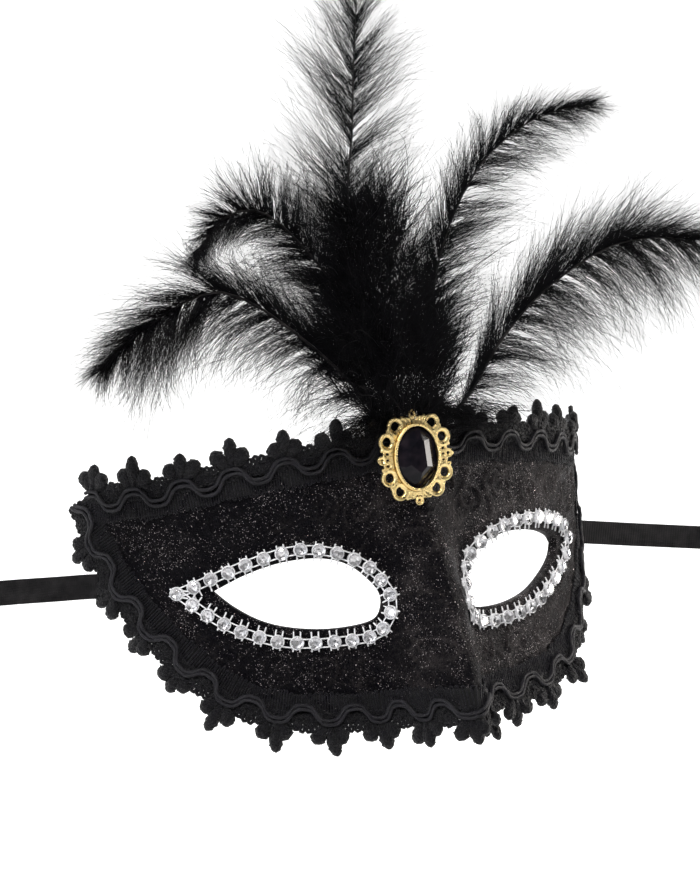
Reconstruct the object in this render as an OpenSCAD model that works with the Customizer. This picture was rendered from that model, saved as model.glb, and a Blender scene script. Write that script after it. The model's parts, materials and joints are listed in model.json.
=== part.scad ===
// Half mask for a masquerade: a moulded shell with a stretch-lace cover, a looped
// braid round its edge, a chain of stones round each eye, a filigree brooch with a
// black stone, a plume of five feathers and a ribbon at each end.
// X runs to the right, Y from the front to the wearer's face, Z up, in millimetres.
// The origin is where the bridge of the wearer's nose rests in the mask.

/* [Shell] */
// Half width of the curve that the mask is wrapped on, seen from above
wrap_w = 73; // [70:1:78]
// Depth of that curve
wrap_d = 55; // [50:1:60]
// Height of the brow edge at the centre line
brow_h = 32; // [30:1:34]
// Height of the two top corners
corner_h = 24; // [22:1:26]
// Length from the centre line to a top corner, laid flat
half_len = 91; // [88:1:94]
// Depth of the lower edge below the eye corners
cheek_h = 34; // [32:1:36]
// Thickness of the moulded shell
shell_t = 1.2; // [1:0.1:1.6]

/* [Nose ridge] */
// How far the ridge stands out at the lower edge
nose_out = 22; // [18:1:24]
// Half width of the ridge at the lower edge
nose_w = 8.7; // [8:0.1:10]
// Height at which the ridge begins
nose_top = 43; // [40:1:46]

/* [Eyes] */
// Distance from the centre line to the inner end of an eye opening, laid flat
eye_in = 12; // [11.5:0.5:13]
// Distance from the centre line to the pointed outer end, laid flat
eye_out = 55; // [53:1:56]
// Number of stones round the eye at the left
stones_left = 27; // [25:1:27]
// Number of stones round the eye at the right, whose outer end is blunter
stones_right = 25; // [23:1:25]
// Width of one stone
stone_d = 3.0; // [2.6:0.1:3]

/* [Edge trim] */
// Length of one repeat of the braid, from flower to flower
trim_pitch = 13; // [12:0.5:15]
// Width of the looped heading inside the cords
heading_w = 5.7; // [5:0.1:6]

/* [Brooch] */
// Width of the filigree frame
brooch_w = 22.6; // [22:0.2:24]
// Height of the filigree frame
brooch_h = 24; // [23:0.5:26]
// Width of the black stone
gem_w = 12; // [11:0.5:12]
// Height of the black stone
gem_h = 16; // [14:0.5:16]

/* [Plume] */
// Thickness of a quill at its base
quill_d = 1.2; // [1:0.1:1.4]
// Half width of the widest feather
vane_w = 17; // [12:1:18]

/* [Ribbons] */
// Width of the ribbon
ribbon_w = 6.3; // [5:0.1:7]
// Thickness of the ribbon
ribbon_t = 0.5; // [0.4:0.1:0.6]

/* [Hidden] */

gap = 0.05;             // glue gap that keeps stacked layers apart
fabric_t = 0.5;         // thickness of the lace cover
lining_t = 0.5;         // thickness of the lining
braid_t = 0.9;          // thickness of the flat braid
cord_t = 0.8;           // thickness of one cord of the pair
wave_out = 1.7;         // half the swing of the cords
edge_w = 3;             // width of the openwork beyond the cords
bow = 3;                // how far the brow and cheeks lean forward
ring_cells = 4;         // cells along each stretch of an outline
ring_steps = 6;         // cells from an eye opening to the edge
fabric_h = gap + fabric_t;
braid_h = fabric_h + gap;
cord_h = braid_h + braid_t + gap;
lining_h = -shell_t - gap;
tab_h = lining_h - lining_t - ribbon_t - 2 * gap;

// ---- small vector helpers ----
function unit(v) = v / norm(v);
function mix(a, b, t) = a + (b - a) * t;
function smooth(t) = let (c = min(max(t, 0), 1)) c * c * (3 - 2 * c);
function mirrored(pts) = [for (i = [len(pts) - 1:-1:0]) [-pts[i][0], pts[i][1]]];

// A smooth curve through points, with n cells from each point to the next
function ghost(p, i) =
    i < 0 ? 2 * p[0] - p[1] :
    i >= len(p) ? 2 * p[len(p) - 1] - p[len(p) - 2] : p[i];
function between(a, b, c, d, t) =
    0.5 * (2 * b + (c - a) * t + (2 * a - 5 * b + 4 * c - d) * t * t
        + (3 * b - a - 3 * c + d) * t * t * t);
function curve(p, n) = concat(
    [for (i = [0:len(p) - 2], k = [0:n - 1])
        between(ghost(p, i - 1), p[i], p[i + 1], ghost(p, i + 2), k / n)],
    [p[len(p) - 1]]);

// ---- the wrap: s runs round the mask from the centre line, z is the height ----
function arc_speed(t) = norm([wrap_w * cos(t), wrap_d * sin(t)]) * PI / 180;
arc_step = 2;
arc_table = [
    for (t = 0, d = 0; t <= 120; d = d + arc_step * arc_speed(t + arc_step / 2), t = t + arc_step)
        [d, t]];
function turn(s) = sign(s) * lookup(abs(s), arc_table);
function ridge(x, z) =
    let (k = smooth((nose_top - z) / 73))
    nose_out * k * exp(-pow(x / (nose_w * (0.7 + 0.3 * k)), 2));
function on_wrap(s, z) =
    let (x = wrap_w * sin(turn(s)))
    [x, wrap_d * (1 - cos(turn(s))) - ridge(x, z) - bow * pow(z / 40, 2), z];
function facing(s, z) = unit(cross(
    on_wrap(s + 0.5, z) - on_wrap(s - 0.5, z), on_wrap(s, z + 0.5) - on_wrap(s, z - 0.5)));
// A point h in front of the shell's front face
function lift(s, z, h) = on_wrap(s, z) + h * facing(s, z);

// ---- outlines, laid flat, right half ----
top_keys = [
    [half_len, corner_h], [68, corner_h + 1], [45, brow_h - 3.5], [22, brow_h - 1], [0, brow_h]];
bottom_keys = [
    [0, 1 - cheek_h], [22, -cheek_h], [46, 4 - cheek_h], [62, -cheek_h * 0.54],
    [half_len * 0.85, 0], [half_len, corner_h]];
centre_keys = [[0, brow_h], [0, brow_h / 3], [0, -cheek_h / 3], [0, 1 - cheek_h]];
// The two openings were cut and trimmed by hand: the left one is pointed, the right one is blunt
left_eye = [
    [eye_out, 0], [45.5, 4], [36, 6.3], [26, 6.3], [18, 3.3], [eye_in + 0.8, -2.5], [eye_in + 0.2, -7.5],
    [15, -11.5], [24, -12.5], [34, -11.5], [42.5, -9], [49.5, -4.8], [eye_out, 0]];
right_eye = [
    [eye_out - 2, 0.6], [49.5, 3.4], [40, 6], [28, 6.6], [18, 3.3], [eye_in + 0.8, -2.5], [eye_in + 0.2, -7.5],
    [15, -11.5], [24, -12.4], [35, -10.8], [43.5, -7.4], [50.5, -3.2], [eye_out - 2, 0.6]];
left_chain = [
    [eye_out + 8, 0], [45, 6.2], [33, 8.7], [22, 6.8], [13.2, 1.3], [9.8, -6.5],
    [13.5, -14.2], [24, -15.3], [38, -14.1], [51, -8.9], [eye_out + 8, 0]];
right_chain = [
    [eye_out + 3.2, 1.2], [54.5, 5.4], [45, 8.3], [33, 8.9], [22, 6.8], [13.2, 1.3], [9.8, -6.5],
    [13.5, -14.2], [24, -15.5], [37, -13.5], [47.5, -8.4], [55.5, -3.2], [eye_out + 3.2, 1.2]];

function drop_last(p) = [for (i = [0:len(p) - 2]) p[i]];
eye_rings = [for (keys = [left_eye, right_eye]) drop_last(curve(keys, ring_cells))];
edge_ring = concat(
    drop_last(curve(top_keys, ring_cells)),
    drop_last(curve(centre_keys, ring_cells)),
    drop_last(curve(bottom_keys, ring_cells)));
ring_n = len(edge_ring);
centre_first = ring_cells * (len(top_keys) - 1);
centre_last = centre_first + ring_cells * (len(centre_keys) - 1);

// ---- sheets: closed skins with both eye openings, between two heights ----
function on_centre(i) = i >= centre_first && i <= centre_last;
// Both halves share the points on the centre line
function corner_id(side, layer, i, j) =
    let (k = i % ring_n, half = (j == ring_steps && on_centre(k)) ? 0 : side)
    ((half * 2 + layer) * (ring_steps + 1) + j) * ring_n + k;
function two(q, flip) = flip
    ? [[q[0], q[2], q[1]], [q[0], q[3], q[2]]]
    : [[q[0], q[1], q[2]], [q[0], q[2], q[3]]];
module sheet(back, front) {
    points = [
        for (side = [0, 1], h = [back, front], j = [0:ring_steps], i = [0:ring_n - 1])
            let (p = mix(eye_rings[side][i], edge_ring[i], j / ring_steps))
            lift(p[0] * (side * 2 - 1), p[1], h)];
    skins = [
        for (side = [0, 1], layer = [0, 1], j = [0:ring_steps - 1], i = [0:ring_n - 1])
            each two([corner_id(side, layer, i, j), corner_id(side, layer, i + 1, j),
                corner_id(side, layer, i + 1, j + 1), corner_id(side, layer, i, j + 1)], side != layer)];
    eye_walls = [
        for (side = [0, 1], i = [0:ring_n - 1])
            each two([corner_id(side, 1, i, 0), corner_id(side, 0, i, 0),
                corner_id(side, 0, i + 1, 0), corner_id(side, 1, i + 1, 0)], side == 0)];
    edge_walls = [
        for (side = [0, 1], i = [0:ring_n - 1])
            if (!(on_centre(i) && on_centre(i + 1)))
                each two([corner_id(side, 1, i, ring_steps), corner_id(side, 1, i + 1, ring_steps),
                    corner_id(side, 0, i + 1, ring_steps), corner_id(side, 0, i, ring_steps)], side == 0)];
    polyhedron(points, concat(skins, eye_walls, edge_walls));
}

// ---- lofts: one closed solid through rings of points ----
function loft_faces(n, m, base = 0) = concat(
    [for (i = [0:n - 2], j = [0:m - 1])
        each two([base + i * m + j, base + i * m + (j + 1) % m,
            base + (i + 1) * m + (j + 1) % m, base + (i + 1) * m + j], false)],
    [for (j = [1:m - 2]) [base, base + j + 1, base + j]],
    [for (j = [1:m - 2]) let (e = base + (n - 1) * m) [e, e + j, e + j + 1]]);
module loft(rings) {
    polyhedron([for (r = rings) each r], loft_faces(len(rings), len(rings[0])));
}
// The same number of rings in every list, all in one polyhedron of separate shells
module lofts(sets) {
    n = len(sets[0]);
    m = len(sets[0][0]);
    polyhedron(
        [for (rings = sets, r = rings) each r],
        [for (k = [0:len(sets) - 1]) each loft_faces(n, m, k * n * m)]);
}

// ---- paths along the edge, measured on the wrapped shell ----
function reversed(p) = [for (i = [len(p) - 1:-1:0]) p[i]];
right_top = curve(reversed(top_keys), 12);
right_low = curve(reversed(bottom_keys), 12);
top_path = concat(drop_last(mirrored(right_top)), right_top);
low_path = concat(drop_last(right_low), mirrored(right_low));
function run_length(p) = [
    for (i = 0, d = 0; i < len(p);
        d = d + (i < len(p) - 1 ? norm(on_wrap(p[i + 1][0], p[i + 1][1]) - on_wrap(p[i][0], p[i][1])) : 0),
        i = i + 1) d];
function ruler(p) = let (d = run_length(p)) [
    [for (i = [0:len(p) - 1]) [d[i], p[i][0]]],
    [for (i = [0:len(p) - 1]) [d[i], p[i][1]]],
    d[len(d) - 1]];
top_rule = ruler(top_path);
low_rule = ruler(low_path);
function at(rule, d) = [lookup(d, rule[0]), lookup(d, rule[1])];
// The direction away from the mask, laid flat: to the left of the way the path runs
function outward(rule, d) =
    let (v = at(rule, d + 0.6) - at(rule, d - 0.6)) unit([-v[1], v[0]]);
function beside(rule, d, v) = at(rule, d) + v * outward(rule, d);
function strip_ring(rule, d, v0, v1, h0, h1) =
    let (a = beside(rule, d, v0), b = beside(rule, d, v1))
    [lift(a[0], a[1], h0), lift(b[0], b[1], h0), lift(b[0], b[1], h1), lift(a[0], a[1], h1)];

corner_clear = heading_w + edge_w;      // the top braid stops short of the lower one
top_first = 5.4;                        // distance from the left corner to the first flower
low_first = 3;                          // the same from the right corner, along the lower edge
cord_apart = 0.55;                      // half the distance between the two cords
function swing(d, offset) = wave_out * cos(360 * (d - offset) / trim_pitch);

module braid(rule, d0, d1) {
    steps = round((d1 - d0) / 3);
    color([0.12, 0.12, 0.12]) loft([for (i = [0:steps])
        strip_ring(rule, mix(d0, d1, i / steps), -heading_w, edge_w, braid_h, braid_h + braid_t)]);
}
module cord_pair(rule, d0, d1, offset) {
    steps = round((d1 - d0) / (trim_pitch / 6));
    color([0.18, 0.18, 0.18]) lofts([for (side = [-1, 1])
        [for (i = [0:steps])
            let (d = mix(d0, d1, i / steps), v = swing(d, offset) + side * cord_apart)
            strip_ring(rule, d, v - cord_t / 2, v + cord_t / 2, cord_h, cord_h + cord_t)]]);
}
// One flower: three petals on a straight foot that meets the openwork
foot_half = 3.2;
foot_low = -1.4;
petal_r = 2.9;
petal_rise = 1.2;
flower_t = 1.3;
flower_outline = concat(
    [[foot_half, foot_low]],
    [for (a = [90:-7.5:-90]) (petal_r + petal_rise * cos(6 * a)) * [sin(a), cos(a)] + [0, petal_rise]],
    [[-foot_half, foot_low]]);
flower_out = edge_w + 1.6;
module flower(rule, d) {
    p = beside(rule, d, flower_out);
    n = facing(p[0], p[1]);
    a = beside(rule, d, flower_out + 2);
    up = unit(lift(a[0], a[1], 0) - lift(p[0], p[1], 0));
    side = unit(cross(up, n));
    o = lift(p[0], p[1], braid_h - 0.2);
    multmatrix([
        [side[0], up[0], n[0], o[0]],
        [side[1], up[1], n[1], o[1]],
        [side[2], up[2], n[2], o[2]],
        [0, 0, 0, 1]])
        linear_extrude(flower_t) polygon(flower_outline);
}
module flowers(rule, d0, d1) {
    color([0.1, 0.1, 0.1]) for (d = [d0:trim_pitch:d1]) flower(rule, d);
}

// ---- the stone chains ----
// Each side has its own line; side is -1 at the left and 1 at the right
chain_rules = [for (keys = [left_chain, right_chain]) ruler(curve(keys, 8))];
function chain_rule(side) = chain_rules[side > 0 ? 1 : 0];
function stone_count(side) = side > 0 ? stones_right : stones_left;
function chain_step(side) = chain_rule(side)[2] / stone_count(side);
chain_near = 0.8;       // distance over which the run of the chain is taken
cup_h = 1.3;
cup_wall = 0.2;
cup_floor = 0.35;
rail_w = 0.4;
rail_len = 2.3;
rail_off = 0.95;        // distance of a rail from the middle of the chain
cup_gap = 0.25;         // lets the flat foot of a cup clear the curved cloth
function chain_spot(side, d) =
    let (rule = chain_rule(side)) at(rule, (d + rule[2]) % rule[2]);
// The origin, the run, the way across and the way forward at d along a chain
function chain_axes(side, d) =
    let (
        p = chain_spot(side, d), q = chain_spot(side, d + chain_near), r = chain_spot(side, d - chain_near),
        n = facing(side * p[0], p[1]),
        run = on_wrap(side * q[0], q[1]) - on_wrap(side * r[0], r[1]),
        x = unit(run - (run * n) * n))
    [lift(side * p[0], p[1], fabric_h + cup_gap), x, cross(n, x), n];
module on_chain(side, d) {
    k = chain_axes(side, d);
    multmatrix([
        [k[1][0], k[2][0], k[3][0], k[0][0]],
        [k[1][1], k[2][1], k[3][1], k[0][1]],
        [k[1][2], k[2][2], k[3][2], k[0][2]],
        [0, 0, 0, 1]]) children();
}
module settings(side) {
    step = chain_step(side);
    for (i = [0:stone_count(side) - 1]) {
        on_chain(side, i * step)
            difference() {
                cylinder(d = stone_d + 0.1 + 2 * cup_wall, h = cup_h, $fn = 24);
                translate([0, 0, cup_floor]) cylinder(d = stone_d + 0.1, h = cup_h, $fn = 24);
            }
        on_chain(side, (i + 0.5) * step)
            for (y = [-1, 1])
                translate([-rail_len / 2, y * rail_off - rail_w / 2, 0.3]) cube([rail_len, rail_w, rail_w]);
    }
}
stone_sides = 8;
culet_d = 1;            // width of a stone at its foot
function stone_ring(k, d, h) = [
    for (i = [0:stone_sides - 1])
        let (a = 360 * i / stone_sides) k[0] + k[3] * h + d / 2 * (k[1] * cos(a) + k[2] * sin(a))];
function stone_rings(k) = [
    stone_ring(k, culet_d, cup_floor + 0.05), stone_ring(k, stone_d, cup_h),
    stone_ring(k, stone_d * 0.62, cup_h + 0.65)];
module stones(side) {
    lofts([for (i = [0:stone_count(side) - 1]) stone_rings(chain_axes(side, i * chain_step(side)))]);
}

// ---- the brooch, facing forward ----
brooch_at = [-3, -7.3, 29.4];      // middle of its back
frame_t = 1.2;
hole_d = 2.2;
small_hole_d = 0.8;
hole_oval = [8.9, 10.2];           // half axes of the oval that the large holes lie on
small_oval = [9.4, 10.4];          // and of the one for the small holes
bezel_t = 2.3;
pad_d = 10;
module facing_front(depth) {
    translate(brooch_at + [0, -depth, 0]) rotate([90, 0, 0]) children();
}
function on_oval(axes, a) = [axes[0] * cos(a), axes[1] * sin(a)];
function oval(w, h, n) = [for (k = [0:n - 1]) on_oval([w / 2, h / 2], 360 * k / n)];
// Scallops round the pierced holes, and a small point on each axis
function scallop(a) = 0.96 - 0.04 * cos(8 * a) + 0.08 * exp(-pow(sin(2 * a) / 0.18, 2));
frame_outline = [for (a = [0:3.75:356]) scallop(a) * on_oval([brooch_w / 2, brooch_h / 2], a)];
module brooch_frame() {
    color("goldenrod") facing_front(0)
        linear_extrude(frame_t) difference() {
            polygon(frame_outline);
            polygon(oval(gem_w + 1, gem_h + 1, 48));
            for (a = [-54, -26, 26, 54], m = [0, 180])
                translate(on_oval(hole_oval, a + m)) circle(d = hole_d, $fn = 24);
            for (a = [0, 90, 180, 270], b = [-9, 9])
                translate(on_oval(small_oval, a + b)) circle(d = small_hole_d, $fn = 16);
        }
}
module brooch_bezel() {
    color("gold") facing_front(0.3)
        linear_extrude(bezel_t) difference() {
            polygon(oval(gem_w + 0.9, gem_h + 0.9, 48));
            polygon(oval(gem_w + 0.1, gem_h + 0.1, 48));
        }
}
gem_sides = 16;
girdle = [0.9, 1.3];               // heights of the stone's widest band
gem_t = 3.1;
function gem_ring(w, h, z) = [for (p = oval(w, h, gem_sides)) [p[0], p[1], z]];
module brooch_gem() {
    color([0.05, 0.05, 0.06]) facing_front(0.4)
        loft([
            gem_ring(gem_w - 0.4, gem_h - 0.4, 0), gem_ring(gem_w, gem_h, girdle[0]),
            gem_ring(gem_w, gem_h, girdle[1]), gem_ring(gem_w * 0.52, gem_h * 0.56, gem_t)]);
}
module brooch_pad() {
    color("dimgray") facing_front(-0.45) translate([0, -4, 0]) cylinder(d = pad_d, h = 0.4, $fn = 32);
}

// ---- the plume ----
quill_low_left_route = [
    [-7, -6.2, 34.2], [-11, -6.2, 39], [-18, -5.5, 49], [-26, -4, 58], [-39, -2, 69.5],
    [-50, -1, 75], [-61, -1, 73], [-74, -2, 66.5], [-84, -3, 59.5]];
quill_high_left_route = [
    [-5.2, -6.2, 34.2], [-6.5, -6, 42], [-8, -2, 52], [-10, 3, 63], [-15, 5, 74],
    [-23, 6, 84.5], [-30, 7, 92], [-37, 7, 94.5], [-46, 6, 92], [-53, 5, 84]];
quill_centre_route = [
    [-3.4, -6.2, 34.2], [-4.5, -6, 42], [-8, 0, 56], [-10, 4, 75], [-8, 7, 98],
    [-5, 8, 111], [-2.5, 9, 128], [-0.5, 9, 142], [1, 9, 152]];
quill_high_right_route = [
    [-1.6, -6.2, 34.2], [1, -6, 41], [4.5, -4, 47], [7, -1, 54], [11.5, 1, 72],
    [17, 2, 85], [26, 3, 98], [35, 3, 106], [48, 3, 112.5], [62, 2, 114.5]];
quill_low_right_route = [
    [0.2, -6.2, 34.2], [9, -6, 38.5], [17, -4, 44], [27, -2, 55], [39.5, 0, 65],
    [53, 1, 72.5], [66, 1, 77.5], [78, 0, 78.5], [89, -2, 77]];
quill_sides = 6;
function course(route, n, t) =
    let (p = curve(route, n), e = t * (len(p) - 1), k = min(floor(e), len(p) - 2))
    mix(p[k], p[k + 1], e - k);
function heading(route, t) =
    unit(course(route, 3, min(t + 0.02, 1)) - course(route, 3, max(t - 0.02, 0)));
// Sideways is the way the barbs point: across the quill, in the plane of the feather
function sideways(route, t) = unit(cross([0, 1, 0], heading(route, t)));
function quill_ring(route, t) =
    let (p = course(route, 3, t), h = heading(route, t), u = sideways(route, t), v = cross(h, u),
        r = quill_d / 2 * (1 - 0.8 * t))
    [for (k = [0:quill_sides - 1]) let (a = 360 * k / quill_sides) p + r * (u * cos(a) + v * sin(a))];
quill_steps = 16;
vane_steps = 12;
vane_t = 2.2;           // thickness of a feather at its shaft
module quill(route) {
    color([0.12, 0.11, 0.1]) loft([for (i = [0:quill_steps]) quill_ring(route, i / quill_steps)]);
}
function vane_half(t) = pow(max(sin(180 * min(1, 0.06 + t * 0.92)), 0.02), 0.6);
function vane_ring(route, t0, w, t) =
    let (k = mix(t0, 0.99, t), p = course(route, 3, k), u = sideways(route, k), h = heading(route, k),
        v = cross(h, u), e = w * vane_half(t))
    [p + e * u, p + vane_t / 2 * v, p - e * u, p - vane_t / 2 * v];
module vane(route, t0, w) {
    color([0.08, 0.08, 0.08, 0.6]) loft([for (i = [0:vane_steps]) vane_ring(route, t0, w, i / vane_steps)]);
}
// The down is a tall tuft round the lower quills
// Each ring of it is its height, its half width, its half depth and how far back it lies
down_rings = [
    [41.8, 12, 2.2, -7.6], [46, 19, 5.5, -5], [56, 21, 8, -1], [68, 20, 9, 2],
    [80, 17, 8.5, 4], [92, 12, 6, 6], [101, 5, 3, 7]];
down_x = -5;
down_sides = 12;
module plume_down() {
    color([0.05, 0.05, 0.05]) loft([for (r = down_rings)
        [for (k = [0:down_sides - 1])
            let (a = -360 * k / down_sides) [down_x + r[1] * cos(a), r[3] + r[2] * sin(a), r[0]]]]);
}
binding_at = [-8.2, -6.2, 33.3];
binding_d = 1.6;
binding_w = 9.6;
module plume_binding() {
    color("black") translate(binding_at) rotate([0, 90, 0]) cylinder(d = binding_d, h = binding_w, $fn = 24);
}

// ---- the ribbons ----
// Each leaves its glued tab inside the mask's end and is pulled out sideways, taut
ribbon_left_route = [
    [-55.6, 22, 2], [-58.5, 25, 2], [-61, 28, 2], [-63.2, 31.1, 2], [-65.1, 34.3, 2],
    [-66.5, 37, 2], [-68, 39.2, 2], [-69.8, 41, 2.1], [-72, 42.4, 2.2], [-74.5, 43.3, 2.3],
    [-77, 43.6, 2.4], [-81, 43.7, 2.6], [-86, 43.7, 2.9], [-91, 43.7, 3.2], [-95, 43.7, 3.4],
    [-99, 43.7, 3.6]];
ribbon_right_route = [
    [55.6, 22, 1], [58.5, 25, 1], [61, 28, 1], [63.2, 31.1, 1], [65.1, 34.3, 0.9],
    [66.5, 37, 0.7], [68, 39.2, 0.4], [69.8, 41, 0], [72, 42.4, -0.4], [74.5, 43.3, -0.8],
    [77, 43.6, -1.2], [82, 43.7, -2], [90, 43.7, -3.3], [99, 43.7, -4.7], [108, 43.7, -6.1],
    [117, 43.7, -7.5]];
function flat_ring(route, t) =
    let (
        p = course(route, 2, t), h = heading(route, t), u = unit([0, 0, 1] - h[2] * h), v = cross(h, u),
        w = ribbon_w / 2, e = ribbon_t / 2, f = e * 0.4,
        outline = [[w, f], [w - e, e], [e - w, e], [-w, f], [-w, -f], [e - w, -e], [w - e, -e], [w, -f]])
    [for (q = outline) p + q[0] * u + q[1] * v];
ribbon_steps = 24;
module ribbon(route) {
    color([0.05, 0.05, 0.06]) loft([for (i = [0:ribbon_steps]) flat_ring(route, i / ribbon_steps)]);
}
// A knotted loop at the free end, so that the ribbon can be hooked or tied on
knot_d = 5;
knot_len = 4.5;
loop_d = 11;
loop_reach = 9;
module ribbon_loop(route, side) {
    end = route[len(route) - 1];
    color([0.05, 0.05, 0.06]) {
        translate(end + [side * gap, 0, 0]) rotate([0, side * 90, 0])
            cylinder(d = knot_d, h = knot_len, $fn = 24);
        translate(end + [side * loop_reach, 0, 0])
            difference() {
                cylinder(d = loop_d, h = ribbon_w, center = true, $fn = 32);
                cylinder(d = loop_d - 2 * ribbon_t, h = ribbon_w + 1, center = true, $fn = 32);
            }
    }
}
tab_near = 61;          // where a tab begins and ends, laid flat
tab_far = 73;
tab_z = 1.5;
tab_half = 4.5;
tab_t = 0.8;
tab_steps = 5;
module ribbon_tab(side) {
    rings = [for (i = [0:tab_steps])
        let (s = mix(tab_near, tab_far, i / tab_steps))
        [for (c = [[-tab_half, 0], [tab_half, 0], [tab_half, -tab_t], [-tab_half, -tab_t]])
            lift(side * s, tab_z + c[0], tab_h + c[1])]];
    color([0.1, 0.1, 0.1]) loft(side > 0 ? rings : reversed(rings));
}

// ---- drawing ----
low_end = low_rule[2];
top_end = top_rule[2];
top_stop = top_end - corner_clear;
color([0.13, 0.12, 0.13]) sheet(-shell_t, 0);  // shell
color([0.1, 0.09, 0.1]) sheet(gap, fabric_h);  // fabric_cover
color([0.2, 0.12, 0.28]) sheet(lining_h - lining_t, lining_h);  // lining
braid(top_rule, corner_clear, top_stop);  // trim_top_braid
cord_pair(top_rule, corner_clear, top_stop, top_first);  // trim_top_cords
flowers(top_rule, top_first, top_end);  // trim_top_flowers
braid(low_rule, 0, low_end);  // trim_lower_braid
cord_pair(low_rule, 0, low_end, low_first);  // trim_lower_cords
flowers(low_rule, low_first, low_end);  // trim_lower_flowers
color("silver") settings(-1);  // eye_left_settings
color("white") stones(-1);  // eye_left_stones
color("silver") settings(1);  // eye_right_settings
color("white") stones(1);  // eye_right_stones
brooch_frame();
brooch_bezel();
brooch_gem();
brooch_pad();
quill(quill_low_left_route);  // quill_low_left
quill(quill_high_left_route);  // quill_high_left
quill(quill_centre_route);  // quill_centre
quill(quill_high_right_route);  // quill_high_right
quill(quill_low_right_route);  // quill_low_right
vane(quill_low_left_route, 0.28, vane_w);  // vane_low_left
vane(quill_high_left_route, 0.45, vane_w * 0.8);  // vane_high_left
vane(quill_centre_route, 0.56, vane_w * 1.1);  // vane_centre
vane(quill_high_right_route, 0.34, vane_w * 0.9);  // vane_high_right
vane(quill_low_right_route, 0.3, vane_w * 0.9);  // vane_low_right
plume_down();
plume_binding();
ribbon(ribbon_left_route);  // ribbon_left
ribbon(ribbon_right_route);  // ribbon_right
ribbon_loop(ribbon_left_route, -1);  // ribbon_loop_left
ribbon_loop(ribbon_right_route, 1);  // ribbon_loop_right
ribbon_tab(-1);  // ribbon_tab_left
ribbon_tab(1);  // ribbon_tab_right
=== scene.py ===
"""Looks for the masquerade mask: cloth, thread work, stones, brooch, feathers and ribbons."""
import json
import math

import bmesh
import bpy
import numpy as np
from mathutils import Matrix, Vector

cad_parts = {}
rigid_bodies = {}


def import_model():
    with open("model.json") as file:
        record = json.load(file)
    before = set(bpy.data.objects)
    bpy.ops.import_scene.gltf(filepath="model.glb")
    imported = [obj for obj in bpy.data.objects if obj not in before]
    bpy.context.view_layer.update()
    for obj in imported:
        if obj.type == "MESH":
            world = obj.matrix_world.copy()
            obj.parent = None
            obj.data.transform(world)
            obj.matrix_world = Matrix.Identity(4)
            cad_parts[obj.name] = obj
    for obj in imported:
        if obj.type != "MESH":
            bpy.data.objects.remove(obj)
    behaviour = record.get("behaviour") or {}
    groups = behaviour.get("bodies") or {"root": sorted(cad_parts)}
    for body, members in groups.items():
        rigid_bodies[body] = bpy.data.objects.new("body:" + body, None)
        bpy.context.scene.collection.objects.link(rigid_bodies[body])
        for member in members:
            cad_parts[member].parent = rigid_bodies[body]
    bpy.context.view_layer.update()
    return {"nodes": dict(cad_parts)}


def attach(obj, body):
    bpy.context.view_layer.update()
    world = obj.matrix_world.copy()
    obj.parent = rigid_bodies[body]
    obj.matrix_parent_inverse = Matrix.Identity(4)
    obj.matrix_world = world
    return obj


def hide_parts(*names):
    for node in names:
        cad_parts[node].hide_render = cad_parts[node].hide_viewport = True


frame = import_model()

MM = 0.001                      # shapes are worked out in millimetres and stored in metres
BODY = "root"

# ---- the camera: it stands a little to the mask's left, just above it, and leans over ----
CAMERA_AZIMUTH = -28.20
CAMERA_ELEVATION = 3.88
CAMERA_ROLL = -4.63
CAMERA_DISTANCE = 0.921
CAMERA_AIM = (-0.0148, 0.0358)  # sideways in the view, and up
SENSOR = 36.0
LENS = 187.2


def direction(azimuth, elevation):
    """The way from the origin to a camera at these angles."""
    a, e = math.radians(azimuth), math.radians(elevation)
    return Vector((math.sin(a) * math.cos(e), -math.cos(a) * math.cos(e), math.sin(e)))


def add_camera():
    back = direction(CAMERA_AZIMUTH, CAMERA_ELEVATION)
    level = Vector((math.cos(math.radians(CAMERA_AZIMUTH)), math.sin(math.radians(CAMERA_AZIMUTH)), 0))
    steep = back.cross(level)
    roll = math.radians(CAMERA_ROLL)
    right = math.cos(roll) * level + math.sin(roll) * steep
    up = math.cos(roll) * steep - math.sin(roll) * level
    place = level * CAMERA_AIM[0] + Vector((0, 0, CAMERA_AIM[1])) + back * CAMERA_DISTANCE
    lens = bpy.data.cameras.new("camera")
    lens.sensor_fit = "HORIZONTAL"
    lens.sensor_width = SENSOR
    lens.lens = LENS
    lens.clip_start = 0.01
    lens.clip_end = 20
    camera = bpy.data.objects.new("camera", lens)
    camera.matrix_world = Matrix((right, up, back)).transposed().to_4x4()
    camera.location = place
    bpy.context.collection.objects.link(camera)
    bpy.context.scene.camera = camera


# ---- small helpers for points ----
UP = np.array([0.0, 0, 1])
BACK = np.array([0.0, 1, 0])


def unit(v):
    return v / np.maximum(np.linalg.norm(v, axis=-1, keepdims=True), 1e-9)


def smooth(t):
    c = np.clip(t, 0, 1)
    return c * c * (3 - 2 * c)


def circle(count):
    """Angles evenly spaced round a turn."""
    return np.arange(count) * 2 * math.pi / count


def oval(count, rx, ry, z=0.0, x=0.0, y=0.0):
    """Points evenly round an oval about (x, y), at the height z."""
    a = circle(count)
    return np.stack([x + rx * np.cos(a), y + ry * np.sin(a), z + 0 * a], -1)


def curve(keys, cells):
    """A smooth line through key points, with a number of cells from each to the next."""
    keys = np.asarray(keys, float)
    p = np.vstack([2 * keys[0] - keys[1], keys, 2 * keys[-1] - keys[-2]])
    t = (np.arange(cells) / cells)[None, :, None]
    a, b, c, d = p[:-3, None], p[1:-2, None], p[2:-1, None], p[3:, None]
    body = 0.5 * (2 * b + (c - a) * t + (2 * a - 5 * b + 4 * c - d) * t ** 2
                  + (3 * b - a - 3 * c + d) * t ** 3)
    return np.vstack([body.reshape(-1, keys.shape[1]), keys[-1:]])


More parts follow.
